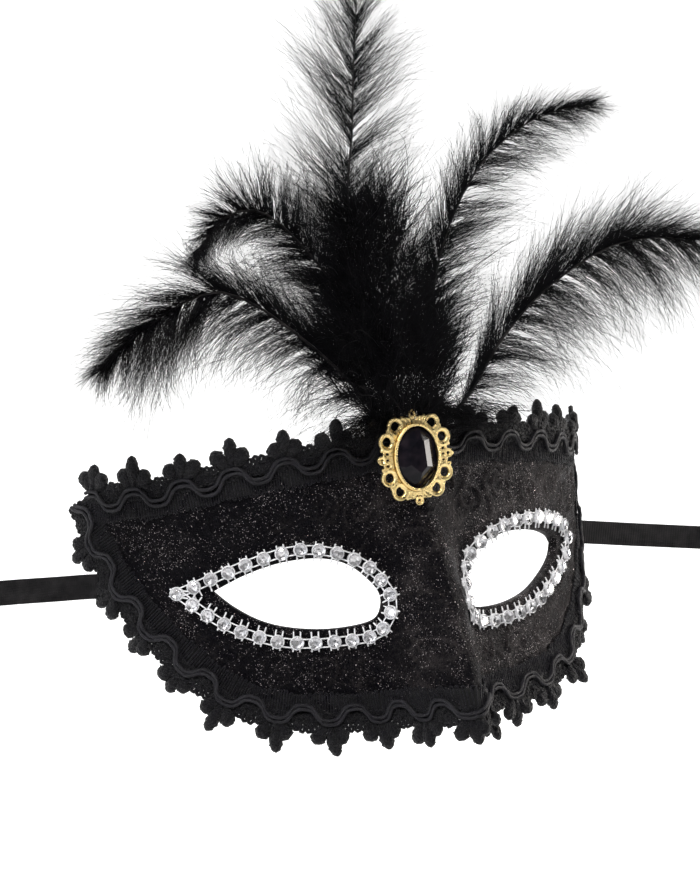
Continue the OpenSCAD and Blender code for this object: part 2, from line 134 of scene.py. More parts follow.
def along(points, count):
    """The same line with evenly spaced points."""
    run = np.concatenate([[0], np.cumsum(np.linalg.norm(np.diff(points, axis=0), axis=1))])
    want = np.linspace(0, run[-1], count)
    return np.stack([np.interp(want, run, points[:, k]) for k in range(points.shape[1])], -1)


def tubes(paths, radii, sides, reference, closed=False, flat=1.0):
    """Closed tubes along many paths at once: paths is (tubes, rings, 3), and radii fits (tubes, rings,
    sides). reference is a direction that no path follows, and flat squeezes the tubes along it."""
    n, k = paths.shape[:2]
    if closed:
        run = np.roll(paths, -1, 1) - np.roll(paths, 1, 1)
    else:
        run = np.empty_like(paths)
        run[:, 1:-1] = paths[:, 2:] - paths[:, :-2]
        run[:, 0] = paths[:, 1] - paths[:, 0]
        run[:, -1] = paths[:, -1] - paths[:, -2]
    run = unit(run)
    u = unit(np.cross(run, np.broadcast_to(reference, paths.shape)))
    v = np.cross(run, u)
    a = circle(sides)
    radii = np.broadcast_to(radii, (n, k, sides))[..., None]
    ring = u[:, :, None] * np.cos(a)[:, None] + v[:, :, None] * (np.sin(a) * flat)[:, None]
    verts = (paths[:, :, None] + radii * ring).reshape(-1, 3)
    spans = k if closed else k - 1
    i = (np.arange(n) * k * sides)[:, None, None]
    j = np.arange(spans)[None, :, None]
    m = np.arange(sides)[None, None]
    here, there = i + j * sides, i + (j + 1) % k * sides
    after = (m + 1) % sides
    quads = np.stack(np.broadcast_arrays(here + m, here + after, there + after, there + m), -1)
    faces = [quads.reshape(-1, 4)]
    if not closed:
        first = (i + m)[:, 0, ::-1]
        last = (i + m)[:, 0] + (k - 1) * sides
        faces.append(np.vstack([first, last]))
    return verts, faces


def loft(rings_of_points, closed=False):
    """A closed solid through rings of points, (rings, points, 3); closed joins its two ends."""
    n, m = rings_of_points.shape[:2]
    i = np.arange(n if closed else n - 1)[:, None]
    j = np.arange(m)[None]
    here, there, after = i * m, (i + 1) % n * m, (j + 1) % m
    quads = np.stack(np.broadcast_arrays(here + j, here + after, there + after, there + j), -1)
    faces = [quads.reshape(-1, 4)]
    if not closed:
        faces.append(np.stack([np.arange(m)[::-1], (n - 1) * m + np.arange(m)]))
    return rings_of_points.reshape(-1, 3), faces


def joined(*shapes):
    verts, faces, total = [], [], 0
    for points, lists in shapes:
        verts.append(points)
        faces += [f + total for f in lists]
        total += len(points)
    return np.vstack(verts), faces


def placed(shape, origins, xs, ys, zs):
    """Copies of a small shape, one at each origin with its own three axes."""
    points, lists = shape
    n = len(origins)
    copies = (origins[:, None] + points[None, :, :1] * xs[:, None] + points[None, :, 1:2] * ys[:, None]
              + points[None, :, 2:] * zs[:, None]).reshape(-1, 3)
    step = (np.arange(n) * len(points))[:, None, None]
    return copies, [(f[None] + step).reshape(-1, f.shape[1]) for f in lists]


def mesh_of(name, shape):
    verts, lists = shape
    loops = np.concatenate([f.ravel() for f in lists]).astype(np.int32)
    sizes = np.concatenate([np.full(len(f), f.shape[1]) for f in lists])
    starts = np.concatenate([[0], np.cumsum(sizes)[:-1]]).astype(np.int32)
    mesh = bpy.data.meshes.new(name)
    mesh.vertices.add(len(verts))
    mesh.loops.add(len(loops))
    mesh.polygons.add(len(sizes))
    mesh.vertices.foreach_set("co", (verts * MM).astype(np.float32).ravel())
    mesh.loops.foreach_set("vertex_index", loops)
    mesh.polygons.foreach_set("loop_start", starts)
    mesh.update(calc_edges=True)
    return mesh


def piece(name, shape, material, replaced=(), smooth_shaded=True):
    mesh = shape if isinstance(shape, bpy.types.Mesh) else mesh_of(name, shape)
    obj = bpy.data.objects.new(name, mesh)
    bpy.context.collection.objects.link(obj)
    mesh.polygons.foreach_set("use_smooth", np.full(len(mesh.polygons), smooth_shaded))
    mesh.materials.append(material)
    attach(obj, BODY)
    if replaced:
        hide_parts(*replaced)
    return obj


# ---- materials ----
class Nodes:
    """A node tree, with short ways to add what the looks are made of."""

    def __init__(self, tree):
        self.tree = tree

    def fill(self, socket, value):
        """Gives a socket its value, or the output that it follows."""
        if isinstance(value, bpy.types.NodeSocket):
            self.tree.links.new(value, socket)
        else:
            socket.default_value = value

    def add(self, kind, inputs, **settings):
        new = self.tree.nodes.new("ShaderNode" + kind)
        for key, value in settings.items():
            setattr(new, key, value)
        for key, value in inputs.items():
            self.fill(new.inputs[key], value)
        return new

    def maths(self, operation, a, b=0.0):
        return self.add("Math", {0: a, 1: b}, operation=operation).outputs[0]

    def times(self, a, b):
        return self.maths("MULTIPLY", a, b)

    def plus(self, a, b):
        return self.maths("ADD", a, b)

    def spread(self, value, low, high, to_low, to_high):
        return self.add("MapRange", {"Value": value, "From Min": low, "From Max": high,
                                     "To Min": to_low, "To Max": to_high}).outputs[0]

    def ramp(self, value, low, high, colour_a, colour_b):
        new = self.add("ValToRGB", {"Fac": value})
        for stop, at, colour in zip(new.color_ramp.elements, (low, high), (colour_a, colour_b)):
            stop.position = at
            stop.color = (*colour, 1)
        return new.outputs["Color"]

    def part(self, vector, axis):
        return self.add("SeparateXYZ", {"Vector": vector}).outputs[axis]


class Look(Nodes):
    """A material in the making; where is the position on the object in millimetres."""

    def __init__(self, name, colour, roughness, **sockets):
        self.material = bpy.data.materials.new(name)
        self.material.use_nodes = True
        super().__init__(self.material.node_tree)
        self.out = self.tree.nodes["Principled BSDF"]
        place = self.add("TexCoord", {}).outputs["Object"]
        self.where = self.add("VectorMath", {0: place, "Scale": 1 / MM}, operation="SCALE").outputs[0]
        self.set(Base_Color=(*colour, 1), Roughness=roughness, **sockets)

    def set(self, **sockets):
        for name, value in sockets.items():
            self.fill(self.out.inputs[name.replace("_", " ")], value)

    def noise(self, scale, detail=3.0, roughness=0.55):
        return self.add("TexNoise", {"Vector": self.where, "Scale": scale, "Detail": detail,
                                     "Roughness": roughness}).outputs["Fac"]

    def cells(self, scale):
        return self.add("TexVoronoi", {"Vector": self.where, "Scale": scale}).outputs

    def bands(self, axis, scale, distortion, detail):
        inputs = {"Vector": self.where, "Scale": scale, "Distortion": distortion, "Detail": detail}
        return self.add("TexWave", inputs, wave_type="BANDS", bands_direction=axis).outputs["Fac"]

    def colours(self, value, low, high, colour_a, colour_b):
        self.set(Base_Color=self.ramp(value, low, high, colour_a, colour_b))

    def roughness(self, value, low, high, to_low, to_high):
        self.set(Roughness=self.spread(value, low, high, to_low, to_high))

    def bump(self, height, strength, depth):
        """Relief from a height of 0 to 1, depth millimetres deep."""
        inputs = {"Height": height, "Strength": strength, "Distance": depth * MM}
        self.set(Normal=self.add("Bump", inputs).outputs[0])


def lace_material():
    """Crinkled stretch lace: a fine gathered weave, a soft sheen, and glitter caught in it."""
    look = Look("lace", (0.008, 0.0075, 0.008), 0.42, Sheen_Weight=0.012, Sheen_Roughness=0.4,
                Sheen_Tint=(0.72, 0.68, 0.72, 1), Specular_IOR_Level=0.08)
    crease = look.maths("ABSOLUTE", look.maths("SUBTRACT", look.noise(0.75, 4.0, 0.6), 0.5))
    ridge = look.spread(crease, 0.0, 0.055, 1.0, 0.0)
    height = look.plus(look.times(ridge, 0.6), look.times(look.cells(2.3)["Distance"], 0.7))
    scroll = look.add("Attribute", {}, attribute_name="scroll").outputs["Fac"]
    # painted light: lighter and warmer towards the right end of the mask, where the right-hand lamp grazes
    # the lace
    side = look.spread(look.part(look.where, "X"), -40, 35, 0.35, 1.0)
    patches_and_painted_side_light = look.times(look.spread(look.noise(0.08, 4), 0.3, 0.7, 0.5, 1.3), side)
    # painted highlight: the raised crests and scrolls are drawn lighter in the colour, on top of the random
    # patches and the painted side light
    tone_and_painted_light = look.times(patches_and_painted_side_light, look.plus(height, look.times(scroll, 0.5)))
    ground = look.ramp(tone_and_painted_light, 0.25, 0.95, (0.0010, 0.0008, 0.0022), (0.046, 0.040, 0.040))
    specks = look.cells(3.5)
    chance = look.add("SeparateColor", {"Color": specks["Color"]}).outputs
    lucky = look.maths("GREATER_THAN", chance[0], look.spread(look.noise(0.11, 3), 0.36, 0.66, 0.95, 0.6))
    speck = look.times(lucky, look.maths("LESS_THAN", specks["Distance"], 0.34))
    tint = look.ramp(look.maths("POWER", chance[1], 1.7), 0.0, 1.0, (0.05, 0.042, 0.048), (0.95, 0.86, 0.87))
    mixed = look.add("Mix", {}, data_type="RGBA")
    for socket, source in zip((0, 6, 7), (speck, ground, tint)):
        look.fill(mixed.inputs[socket], source)
    look.set(Base_Color=mixed.outputs[2], Metallic=look.times(speck, 0.6))
    look.roughness(speck, 0, 1, 0.42, 0.3)
    look.bump(height, 1.0, 0.6)
    return look.material


def thread_material(name, colour, fine, depth, roughness, glint):
    """Black rayon thread: fine fibres along it, and small glints."""
    look = Look(name, colour, roughness, Specular_IOR_Level=glint, Sheen_Weight=0.04)
    look.colours(look.noise(0.5), 0.35, 0.75, colour, tuple(2.2 * c for c in colour))
    fibres = look.noise(fine * 1.7, 4, 0.7)
    look.bump(look.plus(look.cells(fine)["Distance"], fibres), 1.0, depth)
    look.roughness(fibres, 0.3, 0.7, roughness - 0.12, roughness + 0.2)
    return look.material


def felt_material(name, colour, lighter):
    look = Look(name, colour, 0.95, Sheen_Weight=0.15, Sheen_Roughness=0.6, Specular_IOR_Level=0.2)
    look.colours(look.noise(0.35, 5, 0.65), 0.35, 0.7, colour, lighter)
    look.bump(look.noise(2.4, 6, 0.75), 0.8, 0.3)
    return look.material


def shell_material():
    look = Look("shell_plastic", (0.02, 0.019, 0.021), 0.5, Specular_IOR_Level=0.2)
    look.colours(look.noise(0.2, 4), 0.4, 0.7, (0.014, 0.013, 0.015), (0.03, 0.028, 0.03))
    look.roughness(look.noise(1.5), 0.3, 0.7, 0.38, 0.6)
    look.bump(look.noise(1.2, 4), 0.3, 0.08)
    return look.material


def setting_material():
    """White plastic with a worn silver wash."""
    look = Look("setting_plastic", (0.86, 0.86, 0.88), 0.3, Specular_IOR_Level=0.7)
    worn = look.noise(1.1, 4, 0.65)
    look.colours(worn, 0.35, 0.65, (0.70, 0.70, 0.73), (0.92, 0.92, 0.93))
    look.set(Metallic=look.spread(worn, 0.35, 0.65, 0.35, 0.05))
    look.roughness(look.noise(2.5, 2), 0.3, 0.7, 0.2, 0.42)
    look.bump(look.noise(3.0), 0.35, 0.06)
    return look.material


def foil_material():
    look = Look("stone_foil", (0.95, 0.94, 0.95), 0.2, Metallic=0.6)
    look.colours(look.noise(0.9), 0.35, 0.7, (0.80, 0.77, 0.76), (0.97, 0.97, 0.98))
    look.bump(look.noise(1.8, 2), 0.2, 0.05)
    return look.material


def clear_stone_material():
    look = Look("clear_stone", (0.97, 0.98, 1.0), 0.03, Transmission_Weight=1.0, IOR=1.5)
    look.roughness(look.noise(1.4), 0.35, 0.75, 0.01, 0.12)
    look.bump(look.noise(1.1, 2), 0.08, 0.04)
    return look.material


def gold_material():
    """Bright plate on pressed metal, with painted shade: darker brown in the hollows, from ambient occlusion.
    """
    look = Look("gold_plate", (0.86, 0.62, 0.24), 0.28, Metallic=1.0)
    cast = look.noise(1.3, 4, 0.6)
    # painted shade: ambient occlusion in the hollows darkens the plate's colour towards brown
    hollow = look.add("AmbientOcclusion", {"Distance": 0.9 * MM}, samples=8).outputs["AO"]
    shade = look.times(hollow, look.spread(cast, 0.25, 0.75, 0.72, 1.1))
    look.colours(shade, 0.25, 0.8, (0.30, 0.17, 0.04), (0.99, 0.78, 0.37))
    look.roughness(cast, 0.3, 0.7, 0.2, 0.42)
    look.bump(look.noise(2.1, 4, 0.65), 0.9, 0.16)
    return look.material


def gem_material():
    look = Look("black_stone", (0.006, 0.006, 0.008), 0.05, Specular_IOR_Level=0.14)
    look.colours(look.noise(0.25, 2), 0.4, 0.7, (0.004, 0.004, 0.006), (0.016, 0.012, 0.016))
    look.roughness(look.noise(1.6), 0.35, 0.75, 0.02, 0.12)
    return look.material


def feather_material():
    """Dyed barbs: nearly black, with a faint cool gloss and a slightly lighter mottle."""
    colour = (0.0012, 0.0012, 0.0018)
    look = Look("feather", colour, 0.45, Specular_IOR_Level=0.1)
    look.colours(look.noise(0.12), 0.4, 0.75, colour, (0.005, 0.0047, 0.0065))
    look.roughness(look.noise(0.8, 2), 0.3, 0.7, 0.3, 0.55)
    return look.material


def quill_material():
    look = Look("quill", (0.01, 0.0095, 0.01), 0.35, Specular_IOR_Level=0.35)
    look.colours(look.noise(0.3, 4), 0.4, 0.7, (0.006, 0.0055, 0.006), (0.030, 0.027, 0.027))
    look.bump(look.noise(1.5, 4), 0.4, 0.06)
    return look.material


def ribbon_material():
    """Satin ribbon with a fine rib across it."""
    look = Look("ribbon_satin", (0.016, 0.015, 0.017), 0.42, Sheen_Weight=0.03, Anisotropic=0.4,
                Specular_IOR_Level=0.15)
    look.colours(look.noise(0.3), 0.35, 0.7, (0.006, 0.0058, 0.0065), (0.018, 0.017, 0.018))
    ribs = look.bands("X", 0.55, 0.25, 1.0)
    look.bump(look.plus(ribs, look.times(look.bands("Z", 0.5, 0.2, 2.0), 0.5)), 0.7, 0.07)
    return look.material


def glue_material():
    look = Look("set_glue", (0.5, 0.47, 0.4), 0.3, Subsurface_Weight=0.1)
    look.colours(look.noise(0.6), 0.4, 0.7, (0.38, 0.35, 0.28), (0.6, 0.57, 0.5))
    look.bump(look.noise(0.7), 0.5, 0.3)
    return look.material


# ---- the surface that the mask is wrapped on: s runs round from the centre line, z is the height ----
WRAP_W, WRAP_D = 73, 55
NOSE_OUT, NOSE_W, NOSE_TOP, NOSE_FADE = 22, 8.7, 43, 73
BOW, BOW_AT = 3, 40                 # how far the form leans back, at that height
BROW_H, CORNER_H, HALF_LEN, CHEEK_H = 32, 24, 91, 34
EYE_IN, EYE_OUT = 12, 55
TRIM_PITCH, HEADING_W, EDGE_W, WAVE_OUT = 13, 5.7, 3, 1.7
STONES, STONE_D = {-1: 27, 1: 25}, 3.0
FABRIC_H, BRAID_H, CORD_H, LINING_H = 0.55, 0.60, 1.95, -1.25
LINING_T = 0.5

ARC_STEP = math.radians(2)
arc_angles = np.arange(61) * ARC_STEP
arc_middles = arc_angles[:-1] + ARC_STEP / 2
arc_steps = np.hypot(WRAP_W * np.cos(arc_middles), WRAP_D * np.sin(arc_middles)) * ARC_STEP
arc_lengths = np.concatenate([[0], np.cumsum(arc_steps)])


def on_wrap(s, z):
    turn = np.sign(s) * np.interp(np.abs(s), arc_lengths, arc_angles)
    x = WRAP_W * np.sin(turn)
    k = smooth((NOSE_TOP - z) / NOSE_FADE)
    ridge = NOSE_OUT * k * np.exp(-(x / (NOSE_W * (0.7 + 0.3 * k))) ** 2)
    y = WRAP_D * (1 - np.cos(turn)) - ridge - BOW * (z / BOW_AT) ** 2
    return np.stack(np.broadcast_arrays(x, y, z), -1).astype(float)


def facing(s, z):
    sideways = on_wrap(s + 0.5, z) - on_wrap(s - 0.5, z)
    upward = on_wrap(s, z + 0.5) - on_wrap(s, z - 0.5)
    return unit(np.cross(sideways, upward))


def lift(s, z, h):
    """The point h in front of the shell's front face."""
    return on_wrap(s, z) + np.asarray(h)[..., None] * facing(s, z)


TOP_KEYS = [(HALF_LEN, CORNER_H), (68, CORNER_H + 1), (45, BROW_H - 3.5), (22, BROW_H - 1), (0, BROW_H)]
BOTTOM_KEYS = [(0, 1 - CHEEK_H), (22, -CHEEK_H), (46, 4 - CHEEK_H), (62, -CHEEK_H * 0.54),
               (HALF_LEN * 0.85, 0), (HALF_LEN, CORNER_H)]
CENTRE_KEYS = [(0, BROW_H), (0, BROW_H / 3), (0, -CHEEK_H / 3), (0, 1 - CHEEK_H)]
# For each side: the opening was cut and trimmed by hand, pointed at the left and blunt at the right
EYE_KEYS = {
    -1: [(EYE_OUT, 0), (45.5, 4), (36, 6.3), (26, 6.3), (18, 3.3), (EYE_IN + 0.8, -2.5),
         (EYE_IN + 0.2, -7.5), (15, -11.5), (24, -12.5), (34, -11.5), (42.5, -9), (49.5, -4.8), (EYE_OUT, 0)],
    1: [(EYE_OUT - 2, 0.6), (49.5, 3.4), (40, 6), (28, 6.6), (18, 3.3), (EYE_IN + 0.8, -2.5),
        (EYE_IN + 0.2, -7.5), (15, -11.5), (24, -12.4), (35, -10.8), (43.5, -7.4), (50.5, -3.2),
        (EYE_OUT - 2, 0.6)],
}
CHAIN_KEYS = {
    -1: [(EYE_OUT + 8, 0), (45, 6.2), (33, 8.7), (22, 6.8), (13.2, 1.3), (9.8, -6.5), (13.5, -14.2),
         (24, -15.3), (38, -14.1), (51, -8.9), (EYE_OUT + 8, 0)],
    1: [(EYE_OUT + 3.2, 1.2), (54.5, 5.4), (45, 8.3), (33, 8.9), (22, 6.8), (13.2, 1.3), (9.8, -6.5),
        (13.5, -14.2), (24, -15.5), (37, -13.5), (47.5, -8.4), (55.5, -3.2), (EYE_OUT + 3.2, 1.2)],
}
MIRROR = np.array([-1, 1])


class Edge:
    """A line laid flat on the mask, measured by its length on the wrapped shell."""

    def __init__(self, flat):
        self.flat = flat
        steps = np.linalg.norm(np.diff(on_wrap(flat[:, 0], flat[:, 1]), axis=0), axis=1)
        self.run = np.concatenate([[0], np.cumsum(steps)])
        self.length = self.run[-1]

    def at(self, d):
        return np.stack([np.interp(d, self.run, self.flat[:, k]) for k in (0, 1)], -1)

    def outward(self, d):
        v = self.at(d + 0.6) - self.at(d - 0.6)
        return unit(np.stack([-v[..., 1], v[..., 0]], -1))

    def place(self, d, v, h):
        """The point at d along the edge, v outside it and h in front of the shell."""
        d, v, h = np.broadcast_arrays(np.asarray(d, float), v, h)
        p = self.at(d) + v[..., None] * self.outward(d)
        return lift(p[..., 0], p[..., 1], h)

    def axes(self, d, v):
        """Along the edge, outward, and forward, at points beside it."""
        out = unit(self.place(d, v + 1, 0) - self.place(d, v - 1, 0))
        run = unit(self.place(d + 0.5, v, 0) - self.place(d - 0.5, v, 0))
        front = unit(np.cross(out, run))
        front = front * np.sign(np.sum(front * self.normal(d, v), -1, keepdims=True))
        return np.cross(out, front), out, front

    def normal(self, d, v):
        p = self.at(d) + np.asarray(v)[..., None] * self.outward(d)
        return facing(p[..., 0], p[..., 1])


right_top = curve(TOP_KEYS[::-1], 12)
right_low = curve(BOTTOM_KEYS[::-1], 12)
top_edge = Edge(np.vstack([(right_top * MIRROR)[::-1][:-1], right_top]))
low_edge = Edge(np.vstack([right_low[:-1], (right_low * MIRROR)[::-1]]))
chain_edges = {side: Edge(curve(keys, 8)) for side, keys in CHAIN_KEYS.items()}


# ---- cloth skins: the cover, rolled over the eye edges, and the lining ----
def ring_surface(sections, centre):
    """Two closed halves that share the centre line, as one mesh. sections is (2, around, across, 3), and the
    wall from the last point across to the first is left out along the centre line."""
    n, m = sections.shape[1:3]
    faces = []
    for side in (0, 1):
        i = np.arange(n)[:, None]
        j = np.arange(m)[None]
        base = side * n * m
        a, b = base + i * m + j, base + (i + 1) % n * m + j
        after = (j + 1) % m - j
        quads = np.stack([a, b, b + after, a + after], -1)
        keep = np.ones((n, m), bool)
        keep[centre[0]:centre[1], m - 1] = False
        quads = quads[keep]
        faces.append(quads if side == 0 else quads[:, ::-1])
    mesh = mesh_of("skin", (sections.reshape(-1, 3), [np.vstack(faces)]))
    bm = bmesh.new()
    bm.from_mesh(mesh)
    bmesh.ops.remove_doubles(bm, verts=bm.verts, dist=1e-7)
    bmesh.ops.recalc_face_normals(bm, faces=bm.faces)
    bm.to_mesh(mesh)
    bm.free()
    return mesh


def rings(cells_each):
    """The eye outlines, the edge outline with the same number of points, and the centre line's span."""
    drop = [curve(keys, cells_each)[:-1] for keys in (TOP_KEYS, CENTRE_KEYS, BOTTOM_KEYS)]
    first = len(drop[0])
    eyes = {side: curve(keys, cells_each)[:-1] for side, keys in EYE_KEYS.items()}
    return eyes, np.vstack(drop), (first, first + len(drop[1]))


# The scrolls of one half: where each is, its radius, and which way it turns
SCROLLS = [(7, 21, 6.5, 1), (16, 16.5, 5.5, -1), (27, 19.5, 6.5, 1), (38, 16, 5.5, -1), (50, 17, 6.5, 1),
           (61, 12, 6, -1), (73, 13, 6.5, 1), (70, 2, 5, -1), (4, 8, 5, -1), (5, -6, 4.5, 1),
           (5, -19, 5.5, -1),
           (16, -23, 5.5, 1), (28, -22.5, 5.5, -1), (40, -21.5, 5.5, 1), (52, -16, 5, -1), (62, -9, 4.5, 1)]
SCROLL_PITCH = 2.7              # between the turns of a scroll
SCROLL_RISE = 0.5


def scroll_relief(s, z):
    """Raised scrolls of the brocade: spirals scattered over each half, joined by wandering stems."""
    height = np.zeros_like(s)
    for cs, cz, radius, hand in SCROLLS:
        ds, dz = np.abs(s) - cs, z - cz
        r = np.hypot(ds, dz)
        turn = np.arctan2(dz, ds) * hand / (2 * math.pi)
        off = (r / SCROLL_PITCH - turn) % 1 - 0.5
        line = np.exp(-(off * SCROLL_PITCH / 0.42) ** 2)
        height = np.maximum(height, line * smooth((radius - r) / 1.5) * smooth((r - 0.4) / 0.8))
    stem = np.sin(0.55 * s + 1.8 * np.sin(0.23 * z)) + np.sin(0.5 * z + 1.5 * np.sin(0.19 * s + 1))
    height = np.maximum(height, 0.7 * np.exp(-(stem / 0.28) ** 2))
    return SCROLL_RISE * height


# How the cover rolls over an eye's edge: out from the edge, and above the shell's face
ROLL = [(0.35, 0.35), (0.5, -0.3), (0.52, -1.3), (0.35, -1.95), (-0.7, -2.0), (-0.7, -1.8), (0.1, -1.78),
        (0.1, 0.02)]


def between(eye, edge, shares):
    """Rows of points from the eye outline (0) to the edge outline (1)."""
    return eye[:, None] + (edge - eye)[:, None] * shares[None, :, None]


def cover_mesh():
    eyes, edge, centre = rings(40)
    front = np.linspace(1, 0, 62)
    halves = []
    for side, eye in eyes.items():
        run = unit(np.roll(eye, -1, 0) - np.roll(eye, 1, 0))
        inward = np.stack([-run[:, 1], run[:, 0]], -1)      # the outline runs against the clock
        p = between(eye, edge, front)
        s, z = p[..., 0] * side, p[..., 1]
        fade = smooth(front * 12)[None] * smooth((1 - front) * 14)[None]
        skin = lift(s, z, FABRIC_H + scroll_relief(s, z) * fade)
        roll = []
        for out, h in ROLL:
            p = eye + out * inward
            roll.append(lift(p[:, 0] * side, p[:, 1], np.full(len(p), h)))
        under = between(eye, edge, np.linspace(0, 1, 7))
        lower = lift(under[..., 0] * side, under[..., 1], 0.05)
        halves.append(np.concatenate([skin, np.stack(roll, 1), lower], 1))
    return ring_surface(np.stack(halves), centre)


def mark_scrolls(mesh):
    """Stores how much each point of the cover belongs to a raised scroll."""
    points = np.empty(len(mesh.vertices) * 3)
    mesh.vertices.foreach_get("co", points)
    x, y, z = points.reshape(-1, 3).T / MM
    turn = np.arcsin(np.clip(x / WRAP_W, -1, 1))
    s = np.sign(turn) * np.interp(np.abs(turn), arc_angles, arc_lengths)
    raised = mesh.attributes.new("scroll", "FLOAT", "POINT")
    raised.data.foreach_set("value", (scroll_relief(s, z) / SCROLL_RISE).astype(np.float32))


def lining_mesh():
    eyes, edge, centre = rings(18)
    down = np.linspace(1, 0, 22)
    rng = np.random.default_rng(11)
    halves = []
    for side, eye in eyes.items():
        p = between(eye, edge, down)
        s, z = p[..., 0] * side, p[..., 1]
        fade = (smooth(down * 8) * smooth((1 - down) * 8))[None]
        near = lift(s, z, LINING_H)
        pile = 0.12 * np.sin(0.9 * s + 2 * np.sin(z * 0.4)) * np.sin(0.8 * z) + 0.1 * rng.random(s.shape)
        far = lift(s, z, LINING_H - LINING_T - pile * fade)[:, ::-1]
        halves.append(np.concatenate([near, far], 1))
    return ring_surface(np.stack(halves), centre)


# ---- the edge trim ----
THREAD_R = 0.2
TOOTH_PITCH = 1.36
PIN_HALF = 0.34                 # half the width of a hairpin
CORD_R, CORD_SIDES, PLY_PITCH = 0.47, 12, 2.4


def swing(d, offset):
    """The cords' wave: broad flat crests, one at each flower."""
    c = np.cos(2 * math.pi * (d - offset) / TRIM_PITCH)
    return WAVE_OUT * 1.12 * np.tanh(1.5 * c) / math.tanh(1.5)


def heading(edge, d0, d1, offset, rng):
    """A comb of looped threads, with hairpins at its inner edge."""
    teeth = int((d1 - d0) / TOOTH_PITCH)
    middle = d0 + (np.arange(teeth) + 0.5) * (d1 - d0) / teeth + rng.normal(0, 0.05, teeth)
    inner = -HEADING_W + 0.55 + rng.normal(0, 0.16, teeth) + 0.3 * np.sin(middle * 0.5)
    outer = np.minimum(swing(middle, offset), 1.2) + 0.2
    lean = 0.25 * np.sin(2 * math.pi * (middle - offset) / TRIM_PITCH) + rng.normal(0, 0.05, teeth)
    t = np.linspace(0, 1, 6)
    leg = outer[:, None] + (inner - outer)[:, None] * t
    tilt = lean[:, None] * t
    bend = np.radians([200, 235, 270, 305, 340])
    turn = (middle + lean)[:, None] + PIN_HALF * np.cos(bend)
    leg_d = middle[:, None] + tilt
    d = np.concatenate([leg_d - PIN_HALF, turn, (leg_d + PIN_HALF)[:, ::-1]], 1)
    v = np.concatenate([leg, inner[:, None] + PIN_HALF * (0.2 + np.sin(bend)), leg[:, ::-1]], 1)
    wave = np.concatenate([0.12 * np.sin(t * 9), np.zeros(5), 0.12 * np.sin(t * 9 + 2)])
    h = BRAID_H + 0.46 + wave[None] + np.zeros_like(d)
    thick = THREAD_R * (1 + rng.normal(0, 0.05, (teeth, 1, 1)))
    return tubes(edge.place(d, v, h), thick, 6, edge.normal(d, v))


def gauze(edge, d0, d1):
    """The thin woven ground below the threads."""
    d = np.linspace(d0, d1, int(d1 - d0))
    across = np.linspace(-HEADING_W + 0.7, EDGE_W - 0.7, 8)
    under = [edge.place(d, v, BRAID_H) for v in across]
    over = [edge.place(d, v, BRAID_H + 0.06) for v in across[::-1]]
    return loft(np.stack(under + over, 1))


def cord_pair(edge, d0, d1, offset, rng):
    """Two plied cords side by side, which part a little here and there."""
    d = np.linspace(d0, d1, int((d1 - d0) / 0.24))
    spots = np.arange(d0 - 9, d1 + 10, 9)
    stray = np.interp(d, spots, rng.random(len(spots)) ** 4)
    angle = circle(CORD_SIDES)
    shapes = []
    for side in (-1, 1):
        lane = swing(d + 0.12 * side, offset) + side * (0.50 + 0.35 * stray)
        paths = edge.place(d, lane, CORD_H + 0.1 * np.sin(d * 0.7 + side))[None]
        front = edge.normal(d, lane)[None]
        ply = 1 + 0.09 * np.cos(2 * angle[None] - side * d[:, None] * 2 * math.pi / PLY_PITCH)
        shapes.append(tubes(paths, CORD_R * ply[None], CORD_SIDES, front))
    return joined(*shapes)


def stitch_ring():
    """A small ring of thread in its own plane, x and y, with z forward."""
    wrap = 1 + 0.16 * np.cos(6 * circle(12))[None, :, None]
    return tubes(oval(12, 0.442, 0.598)[None], 0.4 * wrap, 6, UP, closed=True)


def turned(xs, ys, zs, spin, tip):
    """Axes turned by a spin about z and then by a tip about x."""
    x1 = xs * np.cos(spin) + ys * np.sin(spin)
    y1 = ys * np.cos(spin) - xs * np.sin(spin)
    return x1, y1 * np.cos(tip) + zs * np.sin(tip), zs * np.cos(tip) - y1 * np.sin(tip)


# The rows of openwork: how far outside the edge, the pitch of its rings, and their size
OPENWORK = [(3.1, 1.5, 1.25), (2.2, 1.25, 1.05), (1.2, 1.25, 1.0), (0.2, 1.3, 1.0)]


def openwork(edge, d0, d1, offset, rng):
    """Crochet between the cords and the edge: rings of thread in rows, which leave small eyelets."""
    shapes = []
    for v0, pitch, size in OPENWORK:
        n = int((d1 - d0) / pitch)
        d = d0 + (np.arange(n) + rng.random()) * (d1 - d0) / n
        scallop = 0.55 * np.abs(np.sin(math.pi * (d - offset) / TRIM_PITCH * 3))
        v = v0 + scallop * (v0 > 2) + rng.normal(0, 0.08, n)
        h = BRAID_H + 0.45 + rng.normal(0, 0.06, n)
        spin = rng.normal(0, 0.4, n)[:, None]
        xs, ys, zs = turned(*edge.axes(d, v), spin, rng.normal(0, 0.3, n)[:, None])
        k = size * (1 + rng.normal(0, 0.06, n))[:, None]
        shapes.append(placed(stitch_ring(), edge.place(d, v, h), xs * k, ys * k, zs * k))
    return joined(*shapes)


def petal(length, width, thick, rng):
    """A crocheted bobble from the origin along y: a narrow foot, a round end, and knobbly stitches."""
    rows, sides = 22, 18
    t = np.linspace(0, 1, rows)
    y = (1 - np.cos(t * math.pi)) / 2
    foot = 0.5 + 0.5 * smooth(y / 0.6)
    girth = foot * np.sqrt(np.clip(1 - (np.maximum(y - 0.6, 0) / 0.4) ** 2, 0, 1))
    girth[[0, -1]] = 0.12
    row = (y * length * 1.25)[:, None]
    knob = np.cos(6 * circle(sides) + math.pi * np.floor(row)) * np.abs(np.sin(math.pi * row))
    stitch = 1 + 0.15 * knob + 0.05 * rng.normal(size=(rows, sides))
    path = np.stack([0.15 * np.sin(3 * t), y * length, 0.1 * np.sin(4 * t)], -1)[None]
    return tubes(path, (width / 2 * girth[:, None] * stitch)[None], sides, UP, flat=thick / width)


